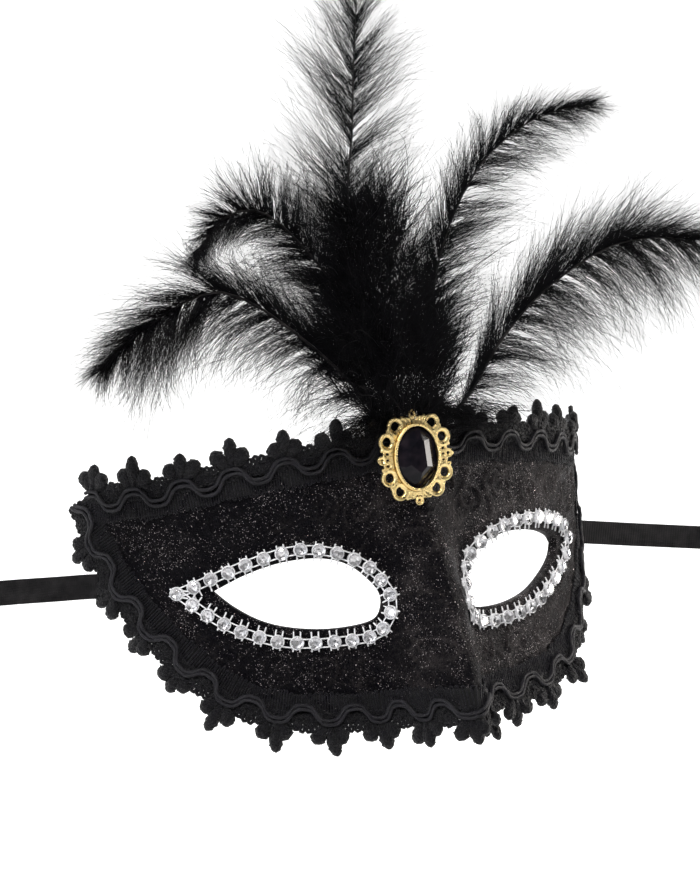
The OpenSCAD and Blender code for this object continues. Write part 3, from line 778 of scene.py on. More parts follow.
def petal_loop(length, width, rng):
    """A petal that is an open loop of covered thread."""
    around, sides = 26, 10
    a = circle(around)
    up = length / 2 - length * 0.40 * np.cos(a)
    path = np.stack([width * 0.36 * np.sin(a), up, 0.2 * np.sin(a)], -1)[None]
    knots = 1 + 0.14 * np.cos(13 * a)[None, :, None] + 0.05 * rng.normal(size=(1, around, sides))
    return tubes(path, 0.62 * knots, sides, UP, closed=True)


# The petals of a flower: which way each leans, its length, its width, and how far its foot is to one side
PETALS = [(-0.6, 5.0, 4.0, 1.25), (0.6, 5.0, 4.0, -1.25), (0.0, 7.2, 3.4, 0.0)]
PETAL_T = 2.7


def flowers(edge, d0, d1, looped, rng):
    """Three petals at each repeat; the flowers counted in looped have open loops."""
    shapes = []
    for index, d in enumerate(np.arange(d0, d1 + 1e-6, TRIM_PITCH)):
        foot = edge.place(np.array([d]), EDGE_W - 0.1, BRAID_H + 0.55)
        xs, ys, zs = edge.axes(np.array([d]), np.array([EDGE_W + 1.0]))
        tip = rng.normal(0, 0.10)
        for lean, length, width, aside in PETALS:
            spin = lean + rng.normal(0, 0.12)
            size = 1 + rng.normal(0, 0.07)
            axes = turned(xs, ys, zs, spin, tip + rng.normal(0, 0.10))
            if index in looped and lean <= 0:
                shape = petal_loop(length * size, width, rng)
            else:
                shape = petal(length * size, width, PETAL_T, rng)
            shapes.append(placed(shape, foot + aside * xs + zs * rng.normal(0, 0.15), *axes))
    return joined(*shapes)


def add_trim(place, edge, d0, d1, first, looped, seed):
    """A trim from d0 to d1 along its edge, whose first flower is at first; the wave follows the flowers."""
    rng = np.random.default_rng(seed)
    braid, cord, petals = (f"trim_{place}_{part}" for part in ("braid", "cords", "flowers"))
    piece(f"ground_{place}", gauze(edge, d0, d1), ground_look)
    piece(f"heading_{place}", heading(edge, d0, d1, first, rng), braid_look, [braid])
    piece(f"openwork_{place}", openwork(edge, d0, d1, first, rng), flower_look)
    piece(f"cords_{place}", cord_pair(edge, d0, d1, first, rng), cord_look, [cord])
    piece(f"flowers_{place}", flowers(edge, first, edge.length, looped, rng), flower_look,
          [petals])


# ---- the stone chains ----
CUP_BASE = FABRIC_H + 0.25
RAIL_OUT, RAIL_GAP, RAIL_R = 1.08, 1.1, 0.19


def cut_stone(width, height, around, top, cuts, rise):
    """A faceted stone: an oval prism, cut down by planes and then raised. Each cut is its direction and slope
    in degrees, and how far out it leaves the flat top."""
    bm = bmesh.new()
    outline = oval(around, width / 2, height / 2)
    base = [bm.verts.new((x, y, 0)) for x, y, _ in outline]
    bm.faces.new(base[::-1])
    lid = [bm.verts.new((x, y, top)) for x, y, _ in outline]
    bm.faces.new(lid)
    for k in range(around):
        bm.faces.new((base[k - 1], base[k], lid[k], lid[k - 1]))
    for turn, slope, reach in cuts:
        a, b = math.radians(turn), math.radians(slope)
        normal = Vector((math.cos(a) * math.sin(b), math.sin(a) * math.sin(b), math.cos(b)))
        point = Vector((math.cos(a) * reach, math.sin(a) * reach, top))
        made = bmesh.ops.bisect_plane(bm, geom=bm.verts[:] + bm.edges[:] + bm.faces[:], dist=1e-5,
                                      plane_co=point, plane_no=normal, clear_outer=True)
        rim = [e for e in made["geom_cut"] if isinstance(e, bmesh.types.BMEdge)]
        if rim:
            bmesh.ops.edgeloop_fill(bm, edges=rim)
    bmesh.ops.dissolve_degenerate(bm, dist=1e-4, edges=bm.edges)
    bmesh.ops.recalc_face_normals(bm, faces=bm.faces)
    bmesh.ops.triangulate(bm, faces=bm.faces)
    bm.verts.index_update()
    points = np.array([v.co[:] for v in bm.verts])
    tris = np.array([[v.index for v in f.verts] for f in bm.faces])
    bm.free()
    return points + UP * rise, [tris]


def small_stone():
    cuts = [(45 * k + 22.5, 33, STONE_D * 0.29) for k in range(8)]
    cuts += [(45 * k, 47, STONE_D * 0.385) for k in range(8)]
    return cut_stone(STONE_D, STONE_D, 24, 1.05, cuts, 0.85)


def foil_cone():
    """The silvered back of a stone: a shallow faceted hollow, closed below."""
    n = 9
    rim = oval(n, 1.42, 1.42, 0.8)
    low = rim * [0.45, 0.45, 0] + [0, 0, 0.42]
    floor = rim * [0.9, 0.9, 0] + [0, 0, 0.22]
    points = np.vstack([rim, low, floor, [[0, 0, 0.5]], [[0, 0, 0.22]]])
    k = np.arange(n)
    after = (k + 1) % n
    inner_tip, outer_tip = np.full(n, 3 * n), np.full(n, 3 * n + 1)
    corners = [(k, after, n + after), (k, n + after, n + k), (n + k, n + after, inner_tip),
               (after, k, 2 * n + k), (after, 2 * n + k, 2 * n + after),
               (2 * n + after, 2 * n + k, outer_tip)]
    return points, [np.vstack([np.stack(three, -1) for three in corners])]


def rod(a, b, r, sides=8):
    """A short rod with softened ends."""
    a, b = np.array(a, float), np.array(b, float)
    t = np.array([0, 0.04, 0.12, 0.88, 0.96, 1])[:, None]
    path = (a + (b - a) * t)[None]
    radii = r * np.array([0.45, 0.85, 1, 1, 0.85, 0.45])[None, :, None]
    return tubes(path, radii, sides, np.array([0.13, 0.21, 0.97]))


def cup_shape():
    """One moulded cup, x along the chain, y towards the opening, with claws, posts and nubs."""
    profile = [(0.02, 0), (1.35, 0), (1.72, 0.06), (1.76, 0.55), (1.66, 0.75), (1.78, 1.12), (1.74, 1.3),
               (1.56, 1.32), (1.50, 0.9), (1.48, 0.45), (0.02, 0.4)]
    shapes = [loft(np.stack([oval(28, r, r, z) for r, z in profile]))]
    for k in range(6):
        t = math.radians(60 * k + 30)
        c, s = math.cos(t), math.sin(t)
        shapes.append(rod((1.66 * c, 1.66 * s, 0.7), (1.3 * c, 1.3 * s, 1.5), 0.16, 6))
    for x in (-0.85, 0.85):
        shapes.append(rod((x, 1.2, 0.4), (x * 1.05, 2.95, 0.3), 0.21))
        shapes.append(rod((x, -1.2, 0.4), (x * 1.05, -2.2, 0.32), 0.21))
    return joined(*shapes)


def chain_axes(side, d):
    line = chain_edges[side]
    p = line.at(d % line.length)
    q = line.at((d + 0.8) % line.length)
    r = line.at((d - 0.8) % line.length)
    n = facing(side * p[:, 0], p[:, 1])
    run = on_wrap(side * q[:, 0], q[:, 1]) - on_wrap(side * r[:, 0], r[:, 1])
    x = unit(run - np.sum(run * n, -1, keepdims=True) * n)
    return lift(side * p[:, 0], p[:, 1], CUP_BASE), x * side, np.cross(n, x) * side, n


def add_chain(name, side, seed):
    """Cups and rails round one opening; every cup leans and every stone is turned a little."""
    rng = np.random.default_rng(seed)
    count = STONES[side]
    step = chain_edges[side].length / count
    d = np.arange(count) * step
    o, x, y, n = chain_axes(side, d)
    tilt = rng.normal(0, 0.07, (count, 2))
    lean_n = unit(n + tilt[:, :1] * x + tilt[:, 1:] * y)
    lean_x = unit(x - np.sum(x * lean_n, -1, keepdims=True) * lean_n)
    lean_y = np.cross(lean_n, lean_x)
    cups = placed(cup_shape(), o, lean_x, lean_y, lean_n)
    rails = []
    middles = chain_axes(side, d + step / 2)
    for across in (-RAIL_OUT, RAIL_OUT):
        bar = rod((-step / 2 + RAIL_GAP, across, 0.55), (step / 2 - RAIL_GAP, across, 0.55), RAIL_R, 6)
        rails.append(placed(bar, *middles))
    piece(f"{name}_cups", joined(cups, *rails), setting_look, [f"{name}_settings"])
    axes = turned(lean_x, lean_y, lean_n, rng.random(count)[:, None] * 6.28, 0.0)
    piece(f"{name}_foils", placed(foil_cone(), o, *axes), foil_look, smooth_shaded=False)
    piece(f"{name}_gems", placed(small_stone(), o, *axes), clear_look, [f"{name}_stones"],
          smooth_shaded=False)


# ---- the brooch: x right, y up and z forward from the middle of its back ----
BROOCH_AT = np.array([-3.0, -7.3, 29.4])
GEM_W, GEM_H = 12, 16
BIG_HOLES = ((5.2, 8.2), (7.9, 4.5))             # one quarter of them; the rest are mirrored
SMALL_HOLES = ((-1.9, 9.1), (1.9, 9.1), (-0.1, 10.9), (-1.9, -9.3), (1.9, -9.3), (0.1, -11.0),
               (-8.1, 1.4), (-9.75, 0.0), (-8.1, -1.4), (7.9, 1.5), (9.4, 0.1), (7.9, -1.3))


# One quarter of the beads: where each is, its radius and its height
BEADS = ((7.3, 7.2, 0.55, 0.7), (6.1, 6.0, 0.75, 0.55), (3.3, 8.5, 0.7, 0.55), (7.4, 2.6, 0.6, 0.55),
         (9.5, 2.5, 0.5, 0.75), (3.1, 10.1, 0.5, 0.75))
SKIN_VOXEL = 0.14


def on_brooch(shape):
    axes = [np.array([v], float) for v in ((1, 0, 0), (0, 0, 1), (0, -1, 0))]
    return placed(shape, BROOCH_AT[None], *axes)


def hoop(width, height, minor, rise, x=0.0, y=0.0, around=28, sides=8, milled=0.0, teeth=80, flat=1.0):
    """A ring of wire about (x, y); milled is how deep its teeth are."""
    path = oval(around, width / 2, height / 2, rise, x, y)[None]
    radii = minor * (1 + milled * np.cos(teeth * circle(around)))[None, :, None]
    return tubes(path, radii, sides, UP, closed=True, flat=flat)


def blended(name, shape):
    """The overlapping parts of a shape, melted into one skin."""
    lump = bpy.data.objects.new(name, mesh_of(name, shape))
    bpy.context.collection.objects.link(lump)
    remesh = lump.modifiers.new("skin", "REMESH")
    remesh.mode = "VOXEL"
    remesh.voxel_size = SKIN_VOXEL * MM
    soften = lump.modifiers.new("soften", "SMOOTH")
    soften.factor = 0.5
    soften.iterations = 2
    solid = bpy.data.meshes.new_from_object(lump.evaluated_get(bpy.context.evaluated_depsgraph_get()))
    bpy.data.objects.remove(lump)
    return solid


def filigree():
    """The pressed frame, blended from rings round its holes, beads, ribs and points."""
    rims = ((1.5, 0.62, 0.6), (2.6, 0.34, 0.75))
    shapes = [hoop(GEM_W + more, GEM_H + more, r, rise, around=96, sides=10) for more, r, rise in rims]
    for sx in (-1, 1):
        for sy in (-1, 1):
            for x, y in BIG_HOLES:
                shapes.append(hoop(3.5, 3.5, 0.62, 0.6, sx * x, sy * y))
                shapes.append(hoop(4.1, 4.1, 0.30, 1.0, sx * x, sy * y))
            for x, y, r, rise in BEADS:
                shapes.append(rod((sx * x - r * 0.9, sy * y, rise), (sx * x + r * 0.9, sy * y, rise), r))
    for x, y in SMALL_HOLES:
        shapes.append(hoop(1.6, 1.6, 0.42, 0.65, x, y, around=20))
        shapes.append(hoop(2.0, 2.0, 0.2, 0.98, x, y, around=20))
    for x, y in ((0, 1), (0, -1), (1, 0), (-1, 0)):
        reach = 11.9 if y else 10.7
        near, far = reach - 0.8, reach + 0.2
        shapes.append(rod((x * near, y * near, 0.7), (x * far, y * far, 0.6), 0.5))
        for fan in (-1.1, -0.55, 0.55, 1.1):
            near = 8.4 if y else 6.8
            far = near + 1.5 * (1.3 - 0.3 * abs(fan))
            if y:
                shapes.append(rod((fan * 1.2, y * near, 0.9), (fan * 2.1, y * far, 1.0), 0.24))
            else:
                shapes.append(rod((x * near, fan * 1.4, 0.9), (x * far, fan * 2.0, 1.0), 0.22))
    solid = blended("filigree", joined(*shapes))
    turn = Matrix(((1, 0, 0, 0), (0, 0, -1, 0), (0, 1, 0, 0), (0, 0, 0, 1)))
    solid.transform(Matrix.Translation(Vector(BROOCH_AT * MM)) @ turn)
    return solid


def gem():
    """The big black stone: long side facets, a small flat top and short facets at its ends."""
    cuts = [(4, 31, 1.5), (180, 38, 2.9), (90, 36, 4.3), (262, 35, 4.3), (52, 39, 3.9), (128, 39, 3.5),
            (-48, 37, 2.9), (230, 36, 3.1), (162, 43, 3.55), (198, 43, 3.55),
            (-75, 40, 4.3), (-108, 42, 4.5), (72, 42, 5.0), (108, 42, 5.0)]
    for k in range(16):
        turn = 22.5 * k + 11
        cuts.append((turn, 62, 4.6 + 1.9 * abs(math.sin(math.radians(turn))) ** 1.5))
    return on_brooch(cut_stone(GEM_W, GEM_H, 64, 3.1, cuts, 0.4))


def bezel():
    wall = hoop(GEM_W + 0.5, GEM_H + 0.5, 0.34, 1.6, around=240, sides=10, flat=1.7)
    milling = hoop(GEM_W + 0.05, GEM_H + 0.05, 0.17, 2.0, around=480, sides=6, milled=0.5)
    return on_brooch(joined(wall, milling))


def glue_pad():
    a = circle(40)
    spread_out = 4.9 + 0.35 * np.sin(3 * a + 1) + 0.25 * np.sin(5 * a)
    levels = []
    for t in np.linspace(0, 1, 9):
        r = spread_out * math.sqrt(max(1 - (2 * t - 1) ** 4, 0.02))
        levels.append(oval(40, r, r, -0.45 + 0.4 * t, 0.0, -4.0))
    return on_brooch(loft(np.stack(levels)))


def add_brooch():
    piece("brooch_filigree", filigree(), gold_look, ["brooch_frame"])
    piece("brooch_milled_rim", bezel(), gold_look, ["brooch_bezel"])
    piece("brooch_stone", gem(), gem_look, ["brooch_gem"], smooth_shaded=False)
    piece("brooch_glue", glue_pad(), glue_look, ["brooch_pad"])


# ---- the plume ----
QUILLS = {
    "low_left": [(-7, -6.2, 34.2), (-11, -6.2, 39), (-18, -5.5, 49), (-26, -4, 58), (-39, -2, 69.5),
                 (-50, -1, 75), (-61, -1, 73), (-74, -2, 66.5), (-84, -3, 59.5)],
    "high_left": [(-5.2, -6.2, 34.2), (-6.5, -6, 42), (-8, -2, 52), (-10, 3, 63), (-15, 5, 74),
                  (-23, 6, 84.5), (-30, 7, 92), (-37, 7, 94.5), (-46, 6, 92), (-53, 5, 84)],
    "centre": [(-3.4, -6.2, 34.2), (-4.5, -6, 42), (-8, 0, 56), (-10, 4, 75), (-8, 7, 98), (-5, 8, 111),
               (-2.5, 9, 128), (-0.5, 9, 142), (1, 9, 152)],
    "high_right": [(-1.6, -6.2, 34.2), (1, -6, 41), (4.5, -4, 47), (7, -1, 54), (11.5, 1, 72), (17, 2, 85),
                   (26, 3, 98), (35, 3, 106), (48, 3, 112.5), (62, 2, 114.5)],
    "low_right": [(0.2, -6.2, 34.2), (9, -6, 38.5), (17, -4, 44), (27, -2, 55), (39.5, 0, 65), (53, 1, 72.5),
                  (66, 1, 77.5), (78, 0, 78.5), (89, -2, 77)],
}
# For each side of a feather, seen from the front with the shaft's tip up: the angle of its barbs to the
# shaft where they leave it and at their ends, and their length, each at the four places along the shaft.
PLACES = (0.0, 0.45, 0.75, 1.0)
LEFT_SIDE = {
    "low_left": ((55, 50, 44, 16), (108, 88, 58, 20), (18, 25, 28, 8)),
    "high_left": ((34, 36, 38, 14), (40, 66, 74, 20), (19, 21, 17, 5)),
    "centre": ((34, 42, 42, 28), (28, 46, 48, 24), (24, 34, 25, 9)),
    "high_right": ((22, 24, 30, 12), (10, 14, 28, 8), (18, 21, 16, 9)),
    "low_right": ((26, 28, 22, 12), (10, 14, 14, 8), (18, 26, 26, 14)),
}
RIGHT_SIDE = {
    "low_left": ((30, 26, 20, 12), (14, 12, 14, 8), (16, 22, 24, 9)),
    "high_left": ((28, 40, 50, 20), (18, 40, 60, 15), (19, 22, 16, 5)),
    "centre": ((34, 42, 42, 28), (28, 46, 48, 24), (24, 34, 25, 9)),
    "high_right": ((46, 48, 46, 16), (60, 62, 58, 18), (20, 24, 20, 10)),
    "low_right": ((48, 50, 46, 25), (86, 88, 90, 50), (20, 28, 30, 16)),
}
# How much of each shaft is bare
BARE = {"low_left": 0.05, "high_left": 0.1, "centre": 0.3, "high_right": 0.12, "low_right": 0.10}
# Barbs on each side of the shaft, and the thickness of their strands
BARBS = {"low_left": 300, "high_left": 300, "centre": 240, "high_right": 270, "low_right": 300}
BARB_R = {"low_left": 0.040, "high_left": 0.042, "centre": 0.027, "high_right": 0.034, "low_right": 0.038}
STRANDS_EACH = 10               # strands of down that make one barb
RINGS_EACH = 6


def grow(rng, roots, headings, sideways, out, angle_a, angle_b, lengths, clump, pull, droop):
    """Paths of strands: each leaves its root at one angle to the heading and ends at another, and each
    clump of them is drawn together towards its end."""
    n = len(roots)
    groups = np.arange(n) // clump
    count = groups[-1] + 1
    shared = rng.normal(0, 1, (count, 6))[groups]
    own = rng.normal(0, 1, (n, 6))
    stray = 1 + 1.6 * (shared[:, 5] > 1.5)
    a = np.radians(angle_a + stray * (6 * shared[:, 0] + 8 * own[:, 0]))
    b = np.radians(angle_b + stray * (14 * shared[:, 1] + 13 * own[:, 1]))
    lengths = lengths * np.clip(1 + 0.2 * shared[:, 2], 0.4, 1.6) * (0.3 + 1.0 * rng.random(n) ** 0.85)
    tilt = out * (0.8 * shared[:, 3] + 0.5 * own[:, 3])
    curl = 0.35 * shared[:, 4] + 0.25 * own[:, 4]
    paths = [roots]
    for k in range(RINGS_EACH - 1):
        t = (k + 0.5) / (RINGS_EACH - 1)
        angle = (a + (b - a) * t ** 1.2 + curl * t * t)[:, None]
        step = (np.cos(angle) * headings + np.sin(angle) * sideways
                + tilt[:, None] * np.cross(headings, sideways) + 0.22 * t * rng.normal(0, 1, (n, 3)))
        paths.append(paths[-1] + unit(step) * (lengths / (RINGS_EACH - 1))[:, None] - UP * droop * t * t)
    paths = np.stack(paths, 1)
    middle = np.zeros((count, RINGS_EACH, 3))
    np.add.at(middle, groups, paths)
    middle /= np.bincount(groups)[:, None, None]
    gather = (pull * np.sin(np.linspace(0, 1, RINGS_EACH) * 1.9) ** 1.5)[None, :, None]
    return paths + (middle[groups] - paths) * gather


def strands(paths, root_r, rng):
    taper = np.linspace(1, 0.3, paths.shape[1])[None, :, None]
    thick = root_r * np.exp(0.35 * rng.normal(0, 1, (len(paths), 1, 1)))
    return tubes(paths, thick * taper, 3, np.array([0.05, 1.0, 0.03]))


def feather(name, seed):
    rng = np.random.default_rng(seed)
    line = along(curve(QUILLS[name], 12), 240)
    turn = unit(np.gradient(line, axis=0))
    bare = BARE[name]
    shapes = []
    for sign, sides in ((-1, LEFT_SIDE[name]), (1, RIGHT_SIDE[name])):
        spots = np.sort(rng.random(BARBS[name]) ** 0.9)
        t = (spots[:, None] + rng.normal(0, 0.005, (len(spots), STRANDS_EACH))).ravel()
        t = bare + (1 - bare) * np.clip(t, 0, 1)
        at = t * (len(line) - 1)
        low = np.minimum(at.astype(int), len(line) - 2)
        mixed = (at - low)[:, None]
        roots = line[low] * (1 - mixed) + line[low + 1] * mixed
        headings = turn[low]
        sideways = unit(np.cross(BACK, headings)) * sign
        angle_a, angle_b, length = (np.interp(t, PLACES, values) for values in sides)
        length = length * smooth((t - bare) / 0.10 + 0.3)
        paths = grow(rng, roots, headings, sideways, 0.22, angle_a, angle_b, length, STRANDS_EACH, 0.42, 0.3)
        shapes.append(strands(paths, BARB_R[name], rng))
    return joined(*shapes)


TUFT_X = -5                     # the middle of the tuft
# The tuft's outline: heights, half widths, half depths, and how far back its middle is
DOWN_RINGS = [(41.8, 12, 2.2, -7.6), (46, 19, 5.5, -5), (56, 21, 8, -1), (68, 20, 9, 2), (80, 17, 8.5, 4),
              (92, 12, 6, 6), (101, 5, 3, 7)]


def down_tuft(seed, count, low, high, reach, taper):
    """Downy barbs inside the tuft's outline, curling up and outward."""
    rng = np.random.default_rng(seed)
    z = low + (high - low) * rng.random(count) ** 1.45
    heights, widths, depths, backs = (np.array([r[k] for r in DOWN_RINGS]) for k in range(4))
    inside = np.sqrt(rng.random(count)) * 0.92 * (1 - taper * (z - low) / (high - low))
    a = 2 * math.pi * rng.random(count)
    back = np.interp(z, heights, backs)
    x = TUFT_X + inside * np.interp(z, heights, widths) * np.cos(a)
    y = back + inside * np.interp(z, heights, depths) * np.sin(a)
    order = np.lexsort((x, np.floor(z / 3)))
    roots = np.stack([x, y, z], -1)[order]
    outward = np.stack([x - TUFT_X, y - back, np.full(count, 16.0)], -1)[order]
    headings = unit(outward + rng.normal(0, 6.5, (count, 3)))
    sideways = unit(np.cross(BACK, headings)) * np.where(rng.random(count) < 0.5, -1, 1)[:, None]
    paths = grow(rng, roots, headings, sideways, 0.35, 8.0, 38.0, reach * (0.7 + 0.5 * rng.random(count)),
                 6, 0.35, 0.25)
    return strands(paths, 0.072, rng)


def skirt(seed, count):
    """Short fluff that spreads over the trim on both sides of the brooch."""
    rng = np.random.default_rng(seed)
    x = rng.normal(-2, 10, count)
    z = 35 + 6 * rng.random(count)
    y = -7.2 + 2.4 * rng.random(count)
    roots = np.stack([x, y, z], -1)[np.argsort(x)]
    ahead, rising = -0.35 + 0.3 * rng.random(count), 0.4 + 0.9 * rng.random(count)
    fan = unit(np.stack([roots[:, 0] * 0.11, ahead, rising], -1))
    sideways = unit(np.cross(BACK, fan)) * np.where(roots[:, 0] > -1, 1, -1)[:, None]
    paths = grow(rng, roots, fan, sideways, 0.3, 20.0, 75.0, 5 + 6 * rng.random(count), 5, 0.3, 0.2)
    return strands(paths, 0.06, rng)


WINDINGS = 20


def binding():
    """Thread wound round the feet of the quills."""
    t = np.linspace(0, 1, 520)
    a = t * 2 * math.pi * WINDINGS
    r = 0.72 + 0.06 * np.sin(9 * a / WINDINGS)
    path = np.stack([-8.2 + 9.6 * t, -6.2 + r * np.cos(a), 33.3 + r * np.sin(a)], -1)[None]
    return tubes(path, 0.2, 6, np.array([1.0, 0.02, 0.01]))


def add_plume():
    for seed, name in enumerate(QUILLS):
        piece(f"barbs_{name}", feather(name, 100 + seed), feather_look, [f"vane_{name}"])
    piece("down_upper", down_tuft(120, 6000, 50, 93, 19, 0.3), feather_look, ["plume_down"])
    low_down = joined(down_tuft(121, 3500, 40, 62, 13, 0.0), skirt(122, 2700))
    piece("down_lower", low_down, feather_look)
    piece("quill_binding", binding(), cord_look, ["plume_binding"])


# ---- the ribbons ----
RIBBON_W, RIBBON_T = 6.3, 0.5
STRIP_T = 0.34                  # the woven strip without its picots
RIBBONS = {
    "left": [(-55.6, 22, 2), (-58.5, 25, 2), (-61, 28, 2), (-63.2, 31.1, 2), (-65.1, 34.3, 2), (-66.5, 37, 2),
             (-68, 39.2, 2), (-69.8, 41, 2.1), (-72, 42.4, 2.2), (-74.5, 43.3, 2.3), (-77, 43.6, 2.4),
             (-81, 43.7, 2.6), (-86, 43.7, 2.9), (-91, 43.7, 3.2), (-95, 43.7, 3.4), (-99, 43.7, 3.6)],
    "right": [(55.6, 22, 1), (58.5, 25, 1), (61, 28, 1), (63.2, 31.1, 1), (65.1, 34.3, 0.9), (66.5, 37, 0.7),
              (68, 39.2, 0.4), (69.8, 41, 0), (72, 42.4, -0.4), (74.5, 43.3, -0.8), (77, 43.6, -1.2),
              (82, 43.7, -2), (90, 43.7, -3.3), (99, 43.7, -4.7), (108, 43.7, -6.1), (117, 43.7, -7.5)],
}
LOOP_R = 5.5
LOOP_REACH = 9


def ribbon_strip(path, closed=False, seed=0):
    """A woven strip on its edge: a thin ribbed middle, and thicker selvedges with small picots."""
    across = np.array([-1, -0.97, -0.9, -0.8, -0.5, 0, 0.5, 0.8, 0.9, 0.97, 1])
    fat = STRIP_T / 2 * np.array([0.45, 0.8, 0.85, 0.62, 0.55, 0.58, 0.55, 0.62, 0.85, 0.8, 0.45])
    run = unit(np.roll(path, -1, 0) - np.roll(path, 1, 0) if closed else np.gradient(path, axis=0))
    u = unit(UP - run * run[:, 2:])
    v = np.cross(run, u)[:, None]
    k = np.arange(len(path))[:, None]
    rough = np.random.default_rng(seed).random((len(path), len(across)))
    bend = 0.05 * np.sin(k * 0.07 + across * 2)
    flat = path[:, None] + u[:, None] * (across * RIBBON_W / 2 * (1 + 0.016 * (k % 2)))[..., None]
    front = flat + v * (fat + bend + 0.01 * rough)[..., None]
    rear = flat + v * (bend - fat)[..., None]
    return loft(np.concatenate([front, rear[:, ::-1]], 1), closed)


# The turns of a knot: its radius, and how much it leans
KNOT_TURNS = [(2.2, 0.5), (2.35, -0.6), (2.0, 0.05)]


def ribbon_knot(end, side):
    """A pulled knot of ribbon with its loop beyond it."""
    loop = oval(96, LOOP_R, LOOP_R, end[2], end[0] + side * LOOP_REACH, end[1])
    shapes = [ribbon_strip(loop, closed=True, seed=5)]
    t = circle(48)
    for k, (radius, lean) in enumerate(KNOT_TURNS):
        path = np.stack([end[0] + side * (2.3 + 0.6 * (k - 1)) + lean * np.sin(t) * 1.6,
                         end[1] + radius * np.cos(t), end[2] + radius * np.sin(t)], -1)[None]
        swell = 0.75 + 0.12 * np.sin(3 * t)[None, :, None]
        shapes.append(tubes(path, swell, 10, np.array([1.0, 0, 0.02]), closed=True, flat=1.7))
    return joined(*shapes)


# A tab laid flat: where it begins, its length, the height of its middle, its half width and thickness
TAB_NEAR, TAB_LEN, TAB_Z, TAB_HALF, TAB_T = 61, 12, 1.5, 4.5, 0.8


def felt_tab(side):
    """A felt patch over the ribbon's glued end, with soft edges."""
    rng = np.random.default_rng(31 + side)
    top_h = LINING_H - LINING_T - RIBBON_T - 0.1
    across = np.linspace(-1, 1, 20)
    dome = TAB_T * np.sqrt(np.maximum(1 - np.abs(across) ** 6, 0.05))
    sections = []
    for t in np.linspace(0, 1, 26):
        end = 1 - 0.28 * abs(2 * t - 1) ** 8
        s = np.full(len(across), side * (TAB_NEAR + TAB_LEN * t))
        z = TAB_Z + TAB_HALF * across * end
        front = lift(s, z, np.full(len(across), top_h))
        rear = lift(s, z, top_h - dome * end - 0.06 * rng.random(len(across)))[::-1]
        sections.append(np.concatenate([front, rear]))
    return loft(np.stack(sections)[::side])


def add_ribbons():
    for name, side in (("left", -1), ("right", 1)):
        route = np.array(RIBBONS[name], float)
        line = curve(route, 6)
        length = float(np.linalg.norm(np.diff(line, axis=0), axis=1).sum())
        woven = ribbon_strip(along(line, int(length / 0.32)), seed=side + 2)
        strip = piece(f"satin_{name}", woven, ribbon_look, [f"ribbon_{name}"])
        knot = piece(f"knot_{name}", ribbon_knot(route[-1], side), ribbon_look,
                     [f"ribbon_loop_{name}"])
        piece(f"felt_tab_{name}", felt_tab(side), tab_look, [f"ribbon_tab_{name}"])


# ---- the studio ----
FLOOR_Z = -0.16                 # this and the backdrop's own sizes are in metres
GLOW_FROM, GLOW_TO = 150, 500   # how far behind the mask the backdrop starts to glow, and is at its full
SWEEP_FROM, SWEEP_R, STAGE_HALF, STAGE_TOP = 1.0, 0.8, 3.0, 3.0


def add_stage():
    look = Look("backdrop", (0.88, 0.88, 0.88), 0.9, Emission_Color=(1, 1, 1, 1))
    look.set(Emission_Strength=look.spread(look.part(look.where, "Y"), GLOW_FROM, GLOW_TO, 0.0, 0.9))
    sweep = [(-STAGE_HALF, FLOOR_Z), (SWEEP_FROM, FLOOR_Z)]
    for t in np.linspace(0.1, math.pi / 2, 16):
        sweep.append((SWEEP_FROM + SWEEP_R * math.sin(t), FLOOR_Z + SWEEP_R * (1 - math.cos(t))))
    sweep.append((SWEEP_FROM + SWEEP_R, STAGE_TOP))
    verts = np.array([(x, y, z) for y, z in sweep for x in (-STAGE_HALF, STAGE_HALF)]) / MM
    k = np.arange(len(sweep) - 1) * 2
    mesh = mesh_of("backdrop", (verts, [np.stack([k, k + 1, k + 3, k + 2], -1)]))
    backdrop = bpy.data.objects.new("backdrop", mesh)
    mesh.polygons.foreach_set("use_smooth", np.full(len(mesh.polygons), True))
    mesh.materials.append(look.material)
    bpy.context.collection.objects.link(backdrop)


def add_light(name, place, target_z, size, watts, colour=(1, 1, 1)):
    """A soft panel that looks at a height above the origin."""
    lamp = bpy.data.lights.new(name, "AREA")
    lamp.shape = "RECTANGLE"
    lamp.size, lamp.size_y = size
    lamp.energy = watts
    lamp.color = colour
    obj = bpy.data.objects.new(name, lamp)
    obj.location = place
    obj.rotation_euler = (Vector((0, 0, target_z)) - Vector(place)).to_track_quat("-Z", "Y").to_euler()
    bpy.context.collection.objects.link(obj)


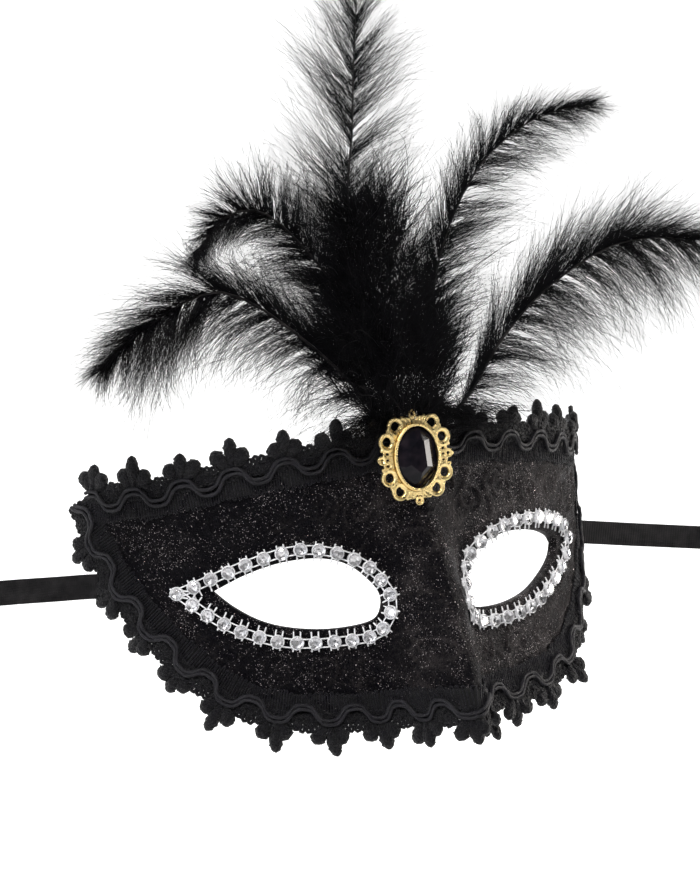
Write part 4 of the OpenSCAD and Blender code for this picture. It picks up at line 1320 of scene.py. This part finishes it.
def add_lights():
    add_light("key", (-0.45, -0.7, 0.85), 0.02, (0.3, 0.3), 13, (1, 0.985, 0.97))
    add_light("right_side", (1.0, -0.02, 0.12), 0.0, (0.25, 0.8), 8, (1, 0.95, 0.90))
    add_light("left_side", (-0.95, 0.0, 0.3), 0.03, (0.3, 0.8), 3.5, (0.95, 0.97, 1))
    add_light("top", (0, 0.1, 1.0), 0.05, (0.6, 0.6), 4)
    world = bpy.data.worlds.new("studio")
    bpy.context.scene.world = world
    world.use_nodes = True
    nodes = Nodes(world.node_tree)
    way = nodes.part(nodes.add("TexCoord", {}).outputs["Generated"], "Y")
    nodes.fill(nodes.tree.nodes["Background"].inputs["Strength"], nodes.spread(way, 0.1, 0.9, 0.10, 0.9))
    bpy.context.scene.view_settings.view_transform = "Standard"


def finish_cad_nodes():
    """The CAD nodes that stay in view get their own materials."""
    looks = {"shell": shell_look}
    looks.update({f"quill_{name}": quill_look for name in QUILLS})
    for name, look in looks.items():
        obj = frame["nodes"][name]
        for mesh_object in [obj] + list(obj.children):
            if mesh_object.type == "MESH":
                mesh_object.data.materials.clear()
                mesh_object.data.materials.append(look)


# ---- everything ----
add_camera()
ribbon_look = ribbon_material()
tab_look = felt_material("felt_tab", (0.012, 0.012, 0.013), (0.03, 0.029, 0.03))
add_ribbons()
shell_look = shell_material()
lace_look = lace_material()
lining_look = felt_material("lining_felt", (0.016, 0.010, 0.026), (0.045, 0.028, 0.07))
braid_look = thread_material("braid_thread", (0.0022, 0.0019, 0.0038), fine=2.4, depth=0.3,
                             roughness=0.3, glint=0.2)
cord_look = thread_material("cord_thread", (0.0035, 0.0031, 0.0050), fine=3.0, depth=0.14,
                            roughness=0.36, glint=0.24)
flower_look = thread_material("flower_thread", (0.0012, 0.0010, 0.0022), fine=1.9, depth=0.6,
                              roughness=0.3, glint=0.22)
ground_look = felt_material("gauze_ground", (0.001, 0.001, 0.001), (0.003, 0.003, 0.0035))
setting_look = setting_material()
foil_look = foil_material()
clear_look = clear_stone_material()
gold_look = gold_material()
gem_look = gem_material()
glue_look = glue_material()
feather_look = feather_material()
quill_look = quill_material()
finish_cad_nodes()
cover = piece("lace_cover", cover_mesh(), lace_look, ["fabric_cover"])
mark_scrolls(cover.data)
lining = piece("felt_lining", lining_mesh(), lining_look, ["lining"])
add_trim("top", top_edge, 3.5, top_edge.length - 3.5, 5.4, {13}, 41)
add_trim("lower", low_edge, 0, low_edge.length, 3, {1, 4}, 42)
add_chain("eye_left", -1, 51)
add_chain("eye_right", 1, 52)
add_brooch()
add_plume()
add_stage()
add_lights()
